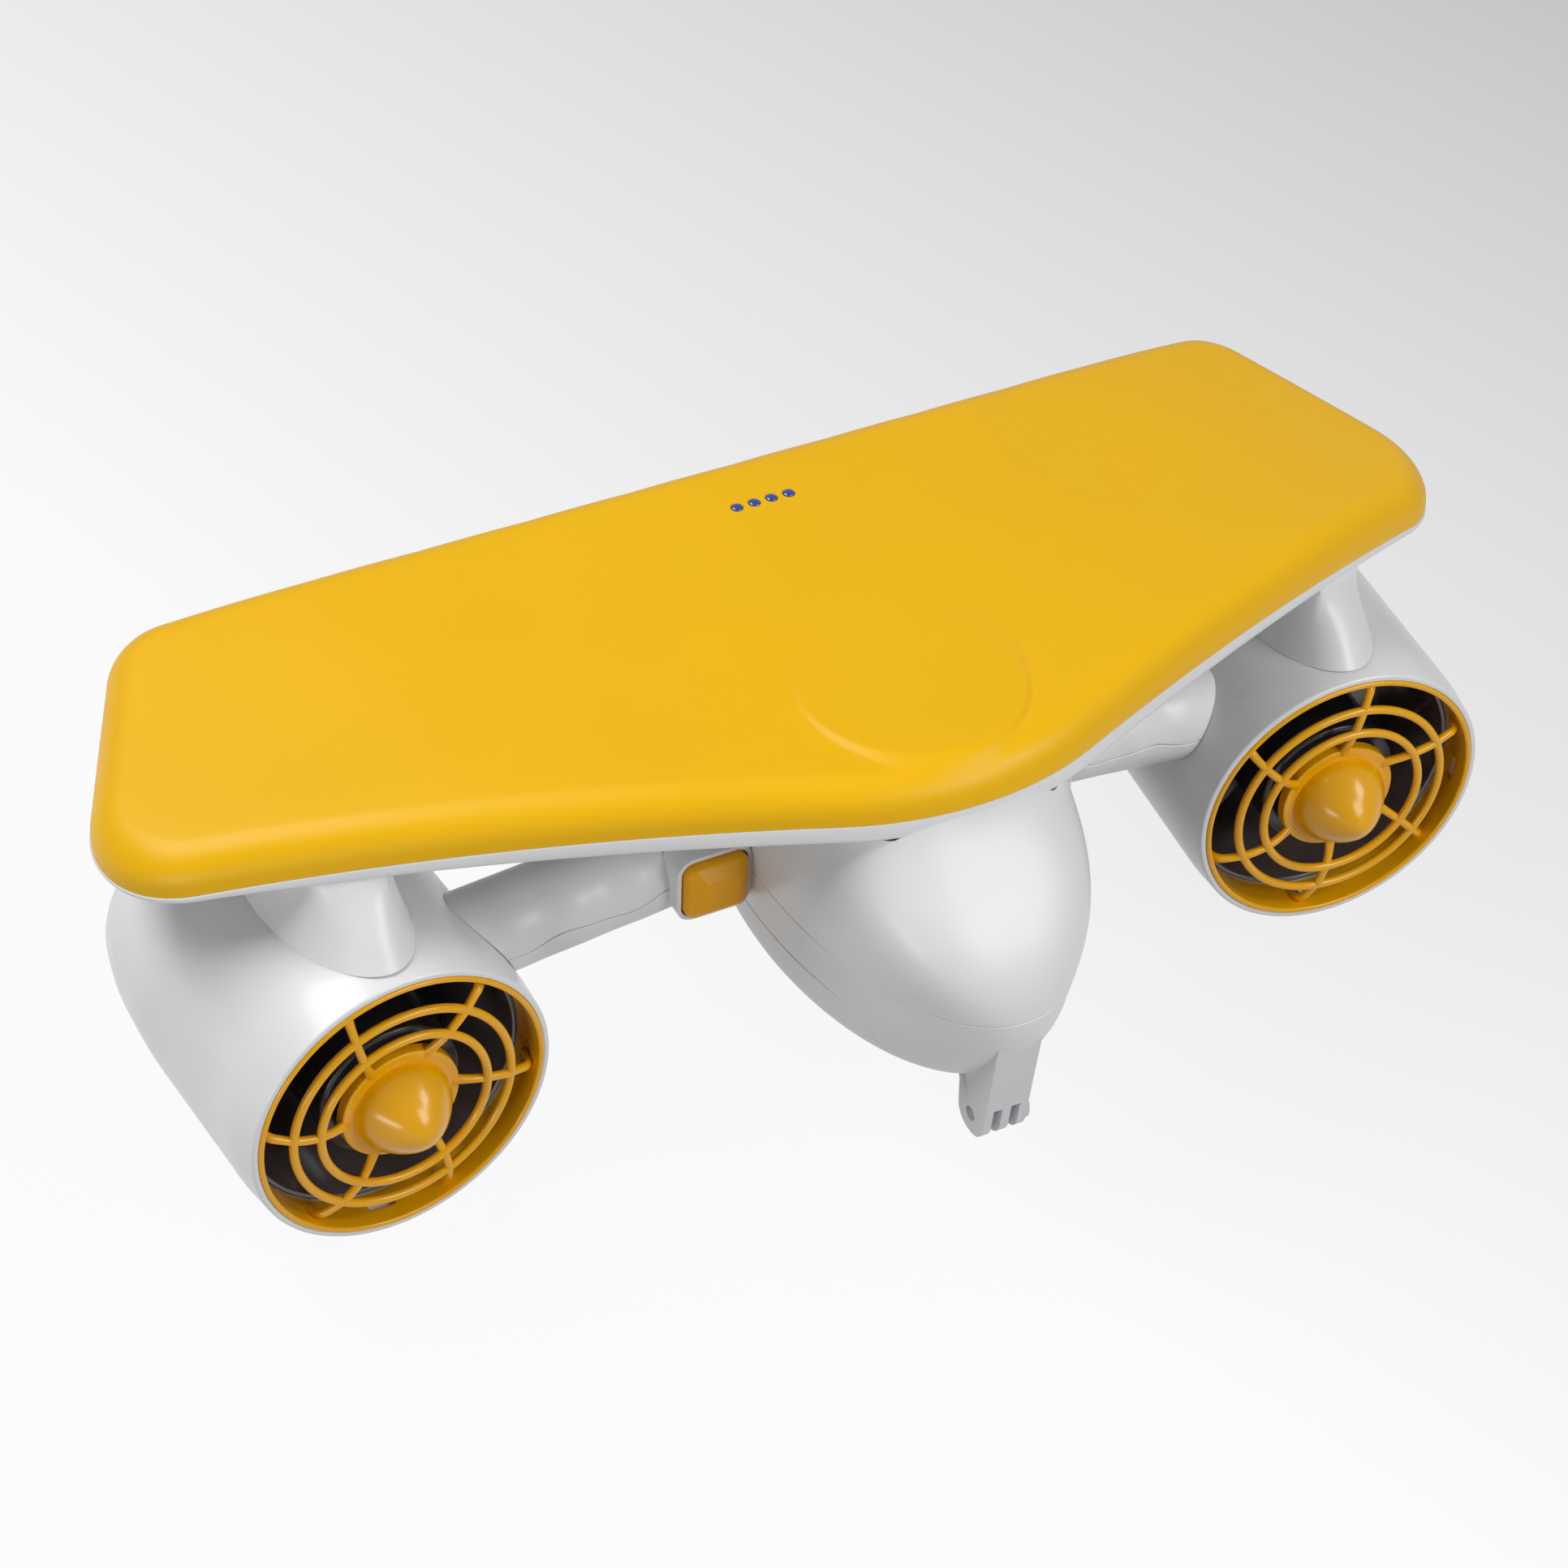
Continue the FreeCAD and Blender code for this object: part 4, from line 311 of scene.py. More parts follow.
def rounded_line(corners, closed=True, arc_step=5.0, line_step=None):
    """Points of a line whose corners are (a, b) or (a, b, radius)."""
    spots = [np.array(c[:2], float) for c in corners]
    count = len(spots)
    line = []
    for i, p in enumerate(spots):
        radius = corners[i][2] if len(corners[i]) > 2 else 0.0
        if radius == 0.0 or (not closed and i in (0, count - 1)):
            line.append(p)
            continue
        before = spots[i - 1] - p
        after = spots[(i + 1) % count] - p
        before /= np.linalg.norm(before)
        after /= np.linalg.norm(after)
        half = math.acos(float(np.clip(before @ after, -1, 1))) / 2
        middle = p + (before + after) / np.linalg.norm(before + after) * (radius / math.sin(half))
        run = radius / math.tan(half)
        first, last = p + before * run - middle, p + after * run - middle
        a0 = math.atan2(first[1], first[0])
        sweep = (math.atan2(last[1], last[0]) - a0 + math.pi) % (2 * math.pi) - math.pi
        steps = max(2, int(math.ceil(abs(math.degrees(sweep)) / arc_step)))
        angles = [a0 + sweep * k / steps for k in range(steps + 1)]
        line += [middle + radius * np.array((math.cos(a), math.sin(a))) for a in angles]
    if line_step:
        fine = []
        for i, p in enumerate(line if closed else line[:-1]):
            q = line[(i + 1) % len(line)]
            pieces = max(1, int(math.ceil(np.linalg.norm(q - p) / line_step)))
            fine += [p + (q - p) * k / pieces for k in range(pieces)]
        line = fine if closed else fine + [line[-1]]
    return np.array(line)


def inward_normals(line):
    """Inward normals of a closed anticlockwise line."""
    way = np.roll(line, -1, 0) - np.roll(line, 1, 0)
    way /= np.linalg.norm(way, axis=1)[:, None]
    return np.column_stack((-way[:, 1], way[:, 0]))


deck_line = rounded_line([(0.0, -55.5, 100.0), (244.6, 57.0, 34.0), (198.8, 151.8, 20.0), (0.0, 112.0, 700.0),
                          (-198.8, 151.8, 20.0), (-244.6, 57.0, 34.0)], True, 3.0, 4.0)
deck_inward = inward_normals(deck_line)
SEAM_CROWN, SEAM_RADIUS = 95.4, 836.0
COVER_RISE, COVER_EDGE, COVER_WALL, SEAM_GAP = 12.6, 10.5, 2.6, 0.12


def arch(x, crown, radius):
    """Height of an arch across the scooter, by its crown and radius."""
    return crown - radius + np.sqrt(radius ** 2 - np.asarray(x, float) ** 2)


def seam(x):
    """Height at which cover and tray meet."""
    return arch(x, SEAM_CROWN, SEAM_RADIUS)


def crossings(loop, y):
    """Where a closed line crosses the level y."""
    ax, ay = loop[:, 0], loop[:, 1]
    bx, by = np.roll(ax, -1), np.roll(ay, -1)
    with np.errstate(divide="ignore", invalid="ignore"):
        return (ax + (y - ay) * (bx - ax) / (by - ay))[(ay > y) != (by > y)]


def within(p, loop):
    """Whether a point lies inside a closed line."""
    return np.count_nonzero(crossings(loop, p[1]) < p[0]) % 2 == 1


def field(rim, spacing, extra=(), holes=()):
    """Flat triangles inside a rim and around holes, with points spread evenly between them."""
    lo, hi = rim.min(0), rim.max(0)
    inner = []
    for row, y in enumerate(np.arange(lo[1] + spacing * 0.6, hi[1], spacing)):
        cuts = crossings(rim, y)
        for x in np.arange(lo[0] + spacing * (0.6 + 0.5 * (row % 2)), hi[0], spacing):
            clear = np.min(np.hypot(rim[:, 0] - x, rim[:, 1] - y)) > spacing * 0.55
            if np.count_nonzero(cuts < x) % 2 and clear:
                inner.append((x, y))
    loops = [rim] + [np.asarray(hole) for hole in holes]
    flat, edges = [], []
    for loop in loops:
        base = len(flat)
        flat += [Vector(p) for p in loop]
        edges += [(base + i, base + (i + 1) % len(loop)) for i in range(len(loop))]
    flat += [Vector(p) for p in list(extra) + inner]
    spots, _, faces, _, _, _ = delaunay_2d_cdt(flat, edges, [], 1, 1e-5)
    spots = np.array([tuple(p) for p in spots])
    kept = []
    for face in faces:
        middle = spots[list(face)].mean(0)
        if not any(within(middle, hole) for hole in holes):
            kept.append(tuple(face))
    return spots, kept


def deck_skin(rings, heights, surface, spacing, extra=(), holes=()):
    """Skin of the deck from rings inside the outline: bands between them and a field inside the last."""
    count = len(deck_line)
    points = [np.column_stack((ring, height)) for ring, height in zip(rings[:-1], heights[:-1])]
    faces = bands(count, len(rings))
    spots, triangles = field(rings[-1], spacing, extra, holes)
    base = count * (len(rings) - 1)
    points.append(np.column_stack((spots, surface(spots[:, 0], spots[:, 1]))))
    faces += [tuple(base + i for i in face) for face in triangles]
    return np.vstack(points), faces


def joined(parts):
    """Several meshes as one."""
    points, faces = [], []
    for part_points, part_faces in parts:
        base = sum(len(p) for p in points)
        points.append(np.asarray(part_points, float))
        faces += [tuple(base + i for i in face) for face in part_faces]
    return np.vstack(points), faces


def rim_rings(inset, edge, side, base_height, top_height):
    """Rings of a wall and its rounded edge: side is 1 going up, -1 going down."""
    foot = deck_line + deck_inward * inset
    rings, heights = [foot], [base_height(foot[:, 0])]
    for a in np.radians(np.linspace(0, 90, 15)):
        ring = foot + deck_inward * (edge - edge * math.cos(a))
        rings.append(ring)
        heights.append(top_height(ring[:, 0], ring[:, 1]) - side * (edge - edge * math.sin(a)))
    return rings, heights


# The thumb step is a disc that stands proud at the front and fades out to the rear
STEP_RISE, STEP_TOP, STEP_FOOT = 2.05, 34.4, 35.9


def step_foot(angle):
    """Radius of the step's foot, by the angle in degrees from the right round by the rear."""
    front = 6.2 * np.exp(-((angle + 103.0) / 34.0) ** 2)
    return STEP_FOOT + front + 7.0 * np.exp(-((angle - 25.0) / 24.0) ** 2)


def step_lift(x, y):
    """Height of the thumb step over the arch."""
    x, y = np.asarray(x, float), np.asarray(y, float)
    away = np.hypot(x, y)
    front = np.clip(0.5 - y / (2 * STEP_TOP), 0.0, 1.1)
    foot = step_foot(np.degrees(np.arctan2(y, x)))
    slope = np.clip((foot - away) / (foot - STEP_TOP), 0.0, 1.0)
    return STEP_RISE * front ** 1.3 * (0.7 * slope + 0.3 * slope * slope * (3 - 2 * slope))


def cover_top(x, y):
    """Height of the cover's outer skin."""
    return arch(x, SEAM_CROWN + COVER_RISE, SEAM_RADIUS + COVER_RISE) + step_lift(x, y)


def cover_under(x, *_):
    """Height of the cover's inner skin, the same from front to rear."""
    return arch(x, SEAM_CROWN + COVER_RISE - COVER_WALL, SEAM_RADIUS + COVER_RISE - COVER_WALL)


def cover_foot(x):
    """Height of the cover's lower edge."""
    return seam(x) + SEAM_GAP


LENS_PLACES = [(x, 98.2) for x in (-9.075, -3.025, 3.025, 9.075)]
LENS_HOLE, COVER_INSET = 2.1, 0.35
around = round_turns(24)
lens_holes = [np.column_stack((x + LENS_HOLE * np.cos(around), y + LENS_HOLE * np.sin(around)))
              for x, y in LENS_PLACES]
step_spots = [(r * math.sin(a), -r * math.cos(a)) for r in np.arange(32.4, 44.6, 0.8)
              for a in np.radians(np.arange(-180, 180, 2.5))]
outer_rings, outer_heights = rim_rings(COVER_INSET, COVER_EDGE, 1, cover_foot, cover_top)
inner_rings, inner_heights = rim_rings(COVER_WALL, COVER_EDGE - COVER_WALL, 1, cover_foot, cover_under)
outer_skin = deck_skin(outer_rings, outer_heights, cover_top, 6.0, step_spots, lens_holes)
inner_skin = deck_skin(inner_rings, inner_heights, cover_under, 9.0, (), lens_holes)
cover_points, cover_faces = joined([outer_skin, inner_skin])
count = len(deck_line)
second = len(outer_skin[0])
cover_faces += band(count, 0, second)
for k in range(len(lens_holes)):
    top_start = count * len(outer_rings) + k * len(around)
    under_start = second + count * len(inner_rings) + k * len(around)
    cover_faces += band(len(around), top_start, under_start)
deck_yellow = moulding("deck_yellow", (0.91, 0.500, 0.003), 0.40, 2600.0, 0.00002, 0.015, 0.05, specular=0.25)
show("float_cover", cover_points, cover_faces, deck_yellow, "hull", ["top_cover"])

# White tray: one moulding, a shallow pan that shows as a pale band under the cover,
# open above the battery, with a waisted pylon down to each nacelle.
TRAY_CROWN, TRAY_RADIUS, TRAY_FLOOR, TRAY_EDGE = 88.4, 971.0, 2.6, 2.0


def tray_under(x, *_):
    """Height of the tray's underside, the same from front to rear."""
    return arch(x, TRAY_CROWN, TRAY_RADIUS)


def tray_floor(x, *_):
    """Height of the tray's floor, the same from front to rear."""
    return np.minimum(arch(x, TRAY_CROWN + TRAY_FLOOR, TRAY_RADIUS + TRAY_FLOOR), seam(x) - 0.3)


battery_window = rounded_line([(-28, -33, 6), (28, -33, 6), (28, 63, 6), (-28, 63, 6)], True, 10.0, 6.0)
LEDGE = 0.5
foot_rings, foot_heights = rim_rings(0.0, TRAY_EDGE, -1, lambda x: seam(x) - LEDGE, tray_under)
rings = [deck_line + deck_inward * inset for inset in (LEDGE + 0.5, LEDGE, LEDGE * 0.3)] + foot_rings
heights = [seam(rings[0][:, 0]), seam(rings[1][:, 0]), seam(rings[2][:, 0]) - LEDGE * 0.3] + foot_heights
outer_skin = deck_skin(rings, heights, tray_under, 9.0, (), [battery_window])
PAN_INSET = 6.0
pan_rings = [deck_line + deck_inward * inset for inset in (LEDGE + 0.5, PAN_INSET, PAN_INSET)]
pan_heights = [seam(pan_rings[0][:, 0]), seam(pan_rings[1][:, 0]), tray_floor(pan_rings[2][:, 0])]
inner_skin = deck_skin(pan_rings, pan_heights, tray_floor, 9.0, (), [battery_window])
tray_points, tray_faces = joined([outer_skin, inner_skin])
second = len(outer_skin[0])
tray_faces += band(len(battery_window), count * len(rings), second + count * len(pan_rings))

THRUSTER_X, TOE, NACELLE_RADIUS = 167.15, math.radians(5.11), 51.8
SIDES = {"left": -1, "right": 1}
# The deck's front edge: y in the middle, and how much it moves back for each millimetre out
DECK_FRONT, DECK_SWEEP = -55.5, 112.5 / 244.6


def at_thruster(points, sign):
    """Points given as (across, behind the rim, up) at one thruster."""
    p = np.asarray(points, float)
    across = p[:, 0] * math.cos(TOE) + sign * p[:, 1] * math.sin(TOE) + sign * THRUSTER_X
    return np.column_stack((across, -sign * p[:, 0] * math.sin(TOE) + p[:, 1] * math.cos(TOE), p[:, 2]))


def pylon(sign):
    """Closed waisted wall from the nacelle's back up into the tray, flush with the deck's front edge."""
    turns = round_turns(120)
    levels = []
    for share in np.concatenate((np.linspace(0, 0.8, 14), np.linspace(0.84, 1.0, 9))):
        flare = 1.3 * max(0.0, (share - 0.78) / 0.22) ** 2 - 1.0 * math.sin(math.pi * min(1.0, share / 0.95))
        across = (20.8 - 4.9 * share + flare) * np.cos(turns)
        behind = 51.5 + 5.5 * share + (47.5 - 7.5 * share + flare) * np.sin(turns)
        ring = at_thruster(np.column_stack((across, behind, np.zeros(len(turns)))), sign)
        edge = DECK_FRONT + DECK_SWEEP * np.abs(ring[:, 0]) + 0.8
        ring[:, 1] = np.where(ring[:, 1] < edge, ring[:, 1] + (edge - ring[:, 1]) * share ** 3, ring[:, 1])
        foot = np.sqrt(51.9 ** 2 - np.clip(across, -30, 30) ** 2)
        ring[:, 2] = foot + (tray_under(ring[:, 0]) + 0.6 - foot) * share
        levels.append(ring)
    n = len(turns)
    faces = bands(n, len(levels))
    faces.append(tuple(range(n))[::-1])
    faces.append(tuple((len(levels) - 1) * n + i for i in range(n)))
    return np.vstack(levels), faces


shell_white = moulding("shell_white", (0.80, 0.805, 0.815), 0.36, 2200.0, 0.000010, 0.012, 0.05)
tray = show("tray_pan", tray_points, tray_faces, shell_white, "hull", ["lower_tray"], 28.0)
DECK_SCREWS = [(sign * x, y) for x, y in ((95, 8), (205, 88), (150, 126), (55, 110)) for sign in (-1, 1)]
SEAT_RADIUS, SEAT_DEPTH = 2.95, 2.05
seats = [pins([(x, y)], SEAT_RADIUS, float(tray_under(x)) - 1.0, float(tray_under(x)) + SEAT_DEPTH)
         for x, y in DECK_SCREWS]
cut_out(tray, *joined(seats), 28.0)
show("pylons", *joined([pylon(-1), pylon(1)]), shell_white, "hull", ["lower_tray"], 40.0)

# Deck seal: a soft black rubber bead that lies on the tray's rim, just inside the
# cover's wall, and is squeezed flat by the deck screws.
seal_rubber = moulding("seal_rubber", (0.02, 0.02, 0.022), 0.6, 3000.0, 0.00002, 0.1, 0.05)


def carry(node, material, body, sharp=32.0):
    """A smooth, finished copy of a CAD node's own mesh, with a material."""
    mesh = nodes[node].data.copy()
    mesh.name = node + "_finished"
    draft = bmesh.new()
    draft.from_mesh(mesh)
    bmesh.ops.remove_doubles(draft, verts=draft.verts, dist=0.000002)
    draft.to_mesh(mesh)
    draft.free()
    mesh.materials.clear()
    mesh.materials.append(material)
    mesh.shade_smooth()
    mesh.set_sharp_from_angle(angle=math.radians(sharp))
    piece = bpy.data.objects.new(mesh.name, mesh)
    scene.collection.objects.link(piece)
    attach(piece, body)
    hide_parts(node)


carry("deck_seal", seal_rubber, "hull")

# Battery level: four deep blue lenses pushed up through the cover, glossy domes of
# clear-coated plastic over the lamps of a small board.
level_blue = moulding("level_blue", (0.004, 0.03, 0.26), 0.08, 900.0, 0.0, 0.05, 0.02, coat=1.0)
LENS_RADIUS, LENS_DOME = 1.95, 0.8
stem = rounded_line([(0.0, -4.2), (3.0, -4.2), (3.0, -2.7), (LENS_RADIUS, -2.7), (LENS_RADIUS, -0.1)], False)
swell = np.radians(np.linspace(6, 90, 14))
dome = np.vstack((stem, np.column_stack((LENS_RADIUS * np.cos(swell), LENS_DOME * np.sin(swell)))))


def turned(profile, segments):
    """Surface of revolution of a (radius, height) line about the upright axis."""
    turns = round_turns(segments)
    rings = np.array([np.column_stack((r * np.cos(turns), r * np.sin(turns), np.full(segments, z)))
                      for r, z in profile])
    return rings.reshape(-1, 3), bands(segments, len(profile))


lens_points, lens_faces = turned(dome, 40)
lenses = joined([(lens_points + (x, y, float(cover_top(x, y))), lens_faces) for x, y in LENS_PLACES])
show("level_lenses_domed", *lenses, level_blue, "hull", ["level_lenses"], 50.0)

# Pod below the deck: one egg-shaped form moulded as a nose shell, a belly and a screwed
# hatch. The nose swells over the tray's band in front and is waisted beside the triggers.
POD_LEVELS = (-1.8, 14.0, 38.0, 64.0, 97.0)
half_widths = np.polyfit(POD_LEVELS, (38.0, 42.6, 44.3, 44.3, 37.0), 4)
half_lengths = np.polyfit(POD_LEVELS, (76.0, 87.0, 95.0, 83.0, 55.5), 4)
POD_Y, POD_FLOOR, POD_ROUND, POD_WALL, POD_SEAM = 14.0, -1.8, 10.0, 2.8, 38.0


def pod_point(angle, z):
    """Point of the pod's skin; the angle runs from the nose round by the right side.

    The foot is tucked in, the sides are waisted beside the triggers, the nose laps
    over the tray's band, and the front grows squarer towards the top.
    """
    z = np.asarray(z, float)
    below = np.clip(POD_ROUND - (z - POD_FLOOR), 0.0, POD_ROUND)
    tuck = POD_ROUND - np.sqrt(np.maximum(POD_ROUND ** 2 - below ** 2, 0.0))
    turn = (np.asarray(angle, float) + math.pi) % (2 * math.pi) - math.pi
    waist = 0.5 * np.exp(-((np.abs(turn) - 1.08) / 0.22) ** 2) * np.clip((z - 50.0) / 30.0, 0.0, 1.0)
    lap = 2.0 * np.exp(-(turn / 0.55) ** 2) * np.clip((z - 74.0) / 20.0, 0.0, 1.0) ** 2
    a = np.polyval(half_widths, z) - tuck - waist
    b = np.polyval(half_lengths, z) - tuck - waist + lap
    upward = np.clip((z - 30.0) / 42.0, 0.0, 1.0)
    power = 2.0 + 1.15 * upward * upward * (3 - 2 * upward) * (np.cos(turn) > 0)
    blunt = (np.abs(np.sin(turn)) ** power + np.abs(np.cos(turn)) ** power) ** (-1.0 / power)
    return np.stack((a * blunt * np.sin(turn), POD_Y - b * blunt * np.cos(turn), z + 0 * turn), -1)


def surface_normals(grid, closed, core):
    """Unit normals of a grid of points, turned away from a core point."""
    down = np.gradient(grid, axis=0)
    if closed:
        over = np.roll(grid, -1, 1) - np.roll(grid, 1, 1)
    else:
        over = np.gradient(grid, axis=1)
    normal = np.cross(down, over)
    length = np.linalg.norm(normal, axis=2, keepdims=True)
    normal = normal / np.maximum(length, 1e-9)
    facing = np.sum(normal * (grid - core), axis=2, keepdims=True)
    return normal * np.where(facing < 0, -1.0, 1.0)


def with_borders(grid, roll, closed):
    """The grid with a line of points added near each open border, for a rolled edge."""
    def beside(border, neighbour):
        """The line next to a border, at the width of the roll where there is room."""
        room = np.maximum(np.linalg.norm(neighbour - border, axis=-1), 1e-6)
        return border + (neighbour - border) * np.clip(roll / room, 0, 0.8)[..., None]

    def bordered(g):
        """The grid with a line added near its first and its last row."""
        return np.concatenate((g[:1], beside(g[0], g[1])[None], g[1:-1], beside(g[-1], g[-2])[None], g[-1:]))

    wider = bordered(grid)
    if not closed:
        wider = np.swapaxes(bordered(np.swapaxes(wider, 0, 1)), 0, 1)
    return wider


def wall(grid, thickness, roll, closed, core, open_borders=(True, True)):
    """Closed shell from a grid of its outer skin, with rolled borders and an inner skin."""
    grid = with_borders(grid, roll, closed)
    normal = surface_normals(grid, closed, core)
    rows, cols = grid.shape[:2]
    sink = np.zeros((rows, cols, 1))
    if open_borders[0]:
        sink[0] = roll
    if open_borders[1]:
        sink[-1] = roll
    if not closed:
        sink[:, 0] = sink[:, -1] = roll
    outer = grid - normal * sink
    inner = grid - normal * thickness
    return two_skins(outer, inner, closed)


def two_skins(outer, inner, closed):
    """Closed mesh from two matching grids, joined along their borders."""
    rows, cols = outer.shape[:2]
    total = rows * cols
    last = cols if closed else cols - 1
    faces = []
    for i in range(rows - 1):
        for j in range(last):
            a, b = i * cols + j, i * cols + (j + 1) % cols
            c, d = b + cols, a + cols
            faces += [(a, b, c, d), (a + total, d + total, c + total, b + total)]
            for near, far, border in ((a, b, i == 0), (b, c, not closed and j == last - 1),
                                      (c, d, i == rows - 2), (d, a, not closed and j == 0)):
                if border:
                    faces.append((far, near, near + total, far + total))
    return np.concatenate((outer.reshape(-1, 3), inner.reshape(-1, 3))), faces


pod_angles = round_turns(180)
NOSE_CLEAR = 0.15


def nose_top(angle):
    """Height at which the nose shell ends: the tray's underside, or the seam where it laps the band."""
    best = float(tray_under(pod_point(angle, 88.0)[0])) - NOSE_CLEAR
    for z in np.arange(best, float(seam(pod_point(angle, 95.0)[0])), 0.1):
        x, y, _ = pod_point(angle, z)
        if within((x, y - NOSE_CLEAR), deck_line):
            break
        best = z
    return best


tops = np.array([nose_top(a) for a in pod_angles])
nose_grid = np.array([[pod_point(a, POD_SEAM + SEAM_GAP + (top - POD_SEAM - SEAM_GAP) * share)
                       for a, top in zip(pod_angles, tops)] for share in np.linspace(0, 1, 46)])
pod_core = np.array((0.0, POD_Y, 40.0))
show("nose_shell", *wall(nose_grid, POD_WALL, 0.22, True, pod_core), shell_white, "hull",
     ["pod_nose_shell"])

HATCH_SEAM, HATCH_FRONT, HATCH_ROUND = 21.0, -49.0, 24.0


def in_hatch(y, z):
    """Whether a point of the skin belongs to the hatch, seen from the side."""
    corner_y, corner_z = HATCH_FRONT + HATCH_ROUND, HATCH_SEAM - HATCH_ROUND
    beyond = y < corner_y and z > corner_z and math.hypot(y - corner_y, z - corner_z) > HATCH_ROUND
    return z < HATCH_SEAM and y > HATCH_FRONT and not beyond


FLOOR_LIFT = 0.02


def belly_point(angle, along):
    """Skin from the middle of the floor (0) to its edge (1) and up to the seam (2)."""
    edge = pod_point(angle, POD_FLOOR + FLOOR_LIFT)
    if along <= 1.0:
        middle = np.array((0.0, POD_Y, POD_FLOOR))
        return middle * (1 - along) + np.array((edge[0], edge[1], POD_FLOOR)) * along
    climb = (along - 1.0) ** 1.7
    return pod_point(angle, POD_FLOOR + FLOOR_LIFT + (POD_SEAM - SEAM_GAP - POD_FLOOR - FLOOR_LIFT) * climb)


def hatch_edge(angle):
    """How far along belly_point the hatch reaches, found by halving."""
    low, high = 0.05, 2.0
    for _ in range(30):
        middle = (low + high) / 2
        if in_hatch(*belly_point(angle, middle)[1:]):
            low = middle
        else:
            high = middle
    return low


edges = np.array([hatch_edge(a) for a in pod_angles])
HATCH_GAP, HATCH_START, HATCH_ROLL = 0.004, 0.03, 0.25
belly_grid = np.array([[belly_point(a, e + HATCH_GAP + (2.0 - e - HATCH_GAP) * share)
                        for a, e in zip(pod_angles, edges)] for share in np.linspace(0, 1, 34)])
show("belly_shell", *wall(belly_grid, POD_WALL, HATCH_ROLL, True, pod_core), shell_white, "hull",
     ["pod_belly_shell"])
hatch_grid = np.array([[belly_point(a, HATCH_START + (e - HATCH_GAP - HATCH_START) * share)
                        for a, e in zip(pod_angles, edges)] for share in np.linspace(0, 1, 44)])
hatch_points, hatch_faces = wall(hatch_grid, POD_WALL, HATCH_ROLL, True, pod_core, (False, True))
# The ring in the middle of the floor is closed by one face on each skin instead of a wall
ring_size = len(pod_angles)
inner_start = (hatch_grid.shape[0] + 2) * ring_size
hatch_faces = [f for f in hatch_faces
               if not (f[0] < ring_size and f[1] < ring_size and max(f) >= inner_start)]
hatch_faces += [tuple(range(ring_size)), tuple(inner_start + i for i in range(ring_size))[::-1]]
hatch = show("battery_hatch", hatch_points, hatch_faces, shell_white, "hull", ["pod_hatch"])
cut_out(hatch, *pins([(-14, -37), (14, -37), (-14, 67), (14, 67)], SEAT_RADIUS, -6.0, 0.35))
carry("pod_seal", seal_rubber, "hull")

# Camera mount: three slim white fingers on a stem under the nose, moulded in one, with
# a cross bore and a captive steel nut in a round cage on the right.
mount_white = moulding("mount_white", (0.70, 0.71, 0.73), 0.42, 2400.0, 0.00001, 0.015, 0.05)
screw_steel = moulding("screw_steel", (0.62, 0.63, 0.65), 0.28, 1500.0, 0.000006, 0.05, 0.10, metallic=1.0)
carry("camera_mount", mount_white, "hull")
carry("camera_mount_nut", screw_steel, "hull")

# Handles: two white half shells a side between pod and nacelle, held with the fingers
# over soft ridges, split along a wavy line in front and opened for the trigger.
HANDLE_RADIUS, HANDLE_WALL, HANDLE_X, HANDLE_Y, HANDLE_Z = 15.6, 2.4, 80.0, 33.0, 33.0
DROOP, HANDLE_REACH, HANDLE_GAP, RIDGE_STEP = math.radians(6.0), 60.0, 0.15, 21.0


def handle_point(sign, along, turn):
    """Skin of a handle: along from -1 at the pod to 1, turn in radians from the rear by the top."""
    front = max(0.0, -math.cos(turn + 0.6)) ** 1.6
    wave = math.cos(along * HANDLE_REACH * 2 * math.pi / RIDGE_STEP + 0.6)
    ridge = 0.85 * front * wave * math.exp(-(along / 0.75) ** 4)
    radius = HANDLE_RADIUS - 0.8 + ridge * 0.9 + 0.6 * along * along
    x = HANDLE_X + along * HANDLE_REACH * math.cos(DROOP) + radius * math.sin(turn) * math.sin(DROOP)
    z = HANDLE_Z - along * HANDLE_REACH * math.sin(DROOP) + radius * math.sin(turn) * math.cos(DROOP)
    # The outer end bends back and down to where the nacelle takes it
    sag = min(1.0, max(0.0, (along + 0.3) / 1.3)) ** 2
    return np.array((sign * x, HANDLE_Y + radius * math.cos(turn) + 4.5 * sag, z - 5.0 * sag))


def clear_of_pod(p):
    """Whether a point lies outside the pod."""
    z = float(np.clip(p[2], 0.0, 95.0))
    a, b = np.polyval(half_widths, z) + HANDLE_GAP, np.polyval(half_lengths, z) + HANDLE_GAP
    return math.hypot(p[0] / a, (p[1] - POD_Y) / b) - 1.0 > 0


def clear_of_nacelle(p):
    """Whether a point lies outside the barrel of the nacelle on its side."""
    sign = math.copysign(1, p[0])
    across = p[0] - sign * THRUSTER_X
    local = across * math.cos(TOE) - sign * p[1] * math.sin(TOE)
    return math.hypot(local, p[2]) - (NACELLE_RADIUS + HANDLE_GAP) > 0


def handle_ends(sign, turn):
    """Where a line along the handle leaves the pod and meets the nacelle."""
    found = []
    for low, high, clear in ((-1.0, 0.0, clear_of_pod), (1.0, 0.0, clear_of_nacelle)):
        for _ in range(26):
            middle = (low + high) / 2
            if clear(handle_point(sign, middle, turn)):
                high = middle
            else:
                low = middle
        found.append(high)
    return found


def front_parting(share):
    """Turn of the wavy parting line in front; the rear one is straight, at 0."""
    return math.pi + 0.10 * math.sin(share * 15.0) * math.exp(-((share - 0.55) / 0.42) ** 4)


PARTING_GAP = 0.016


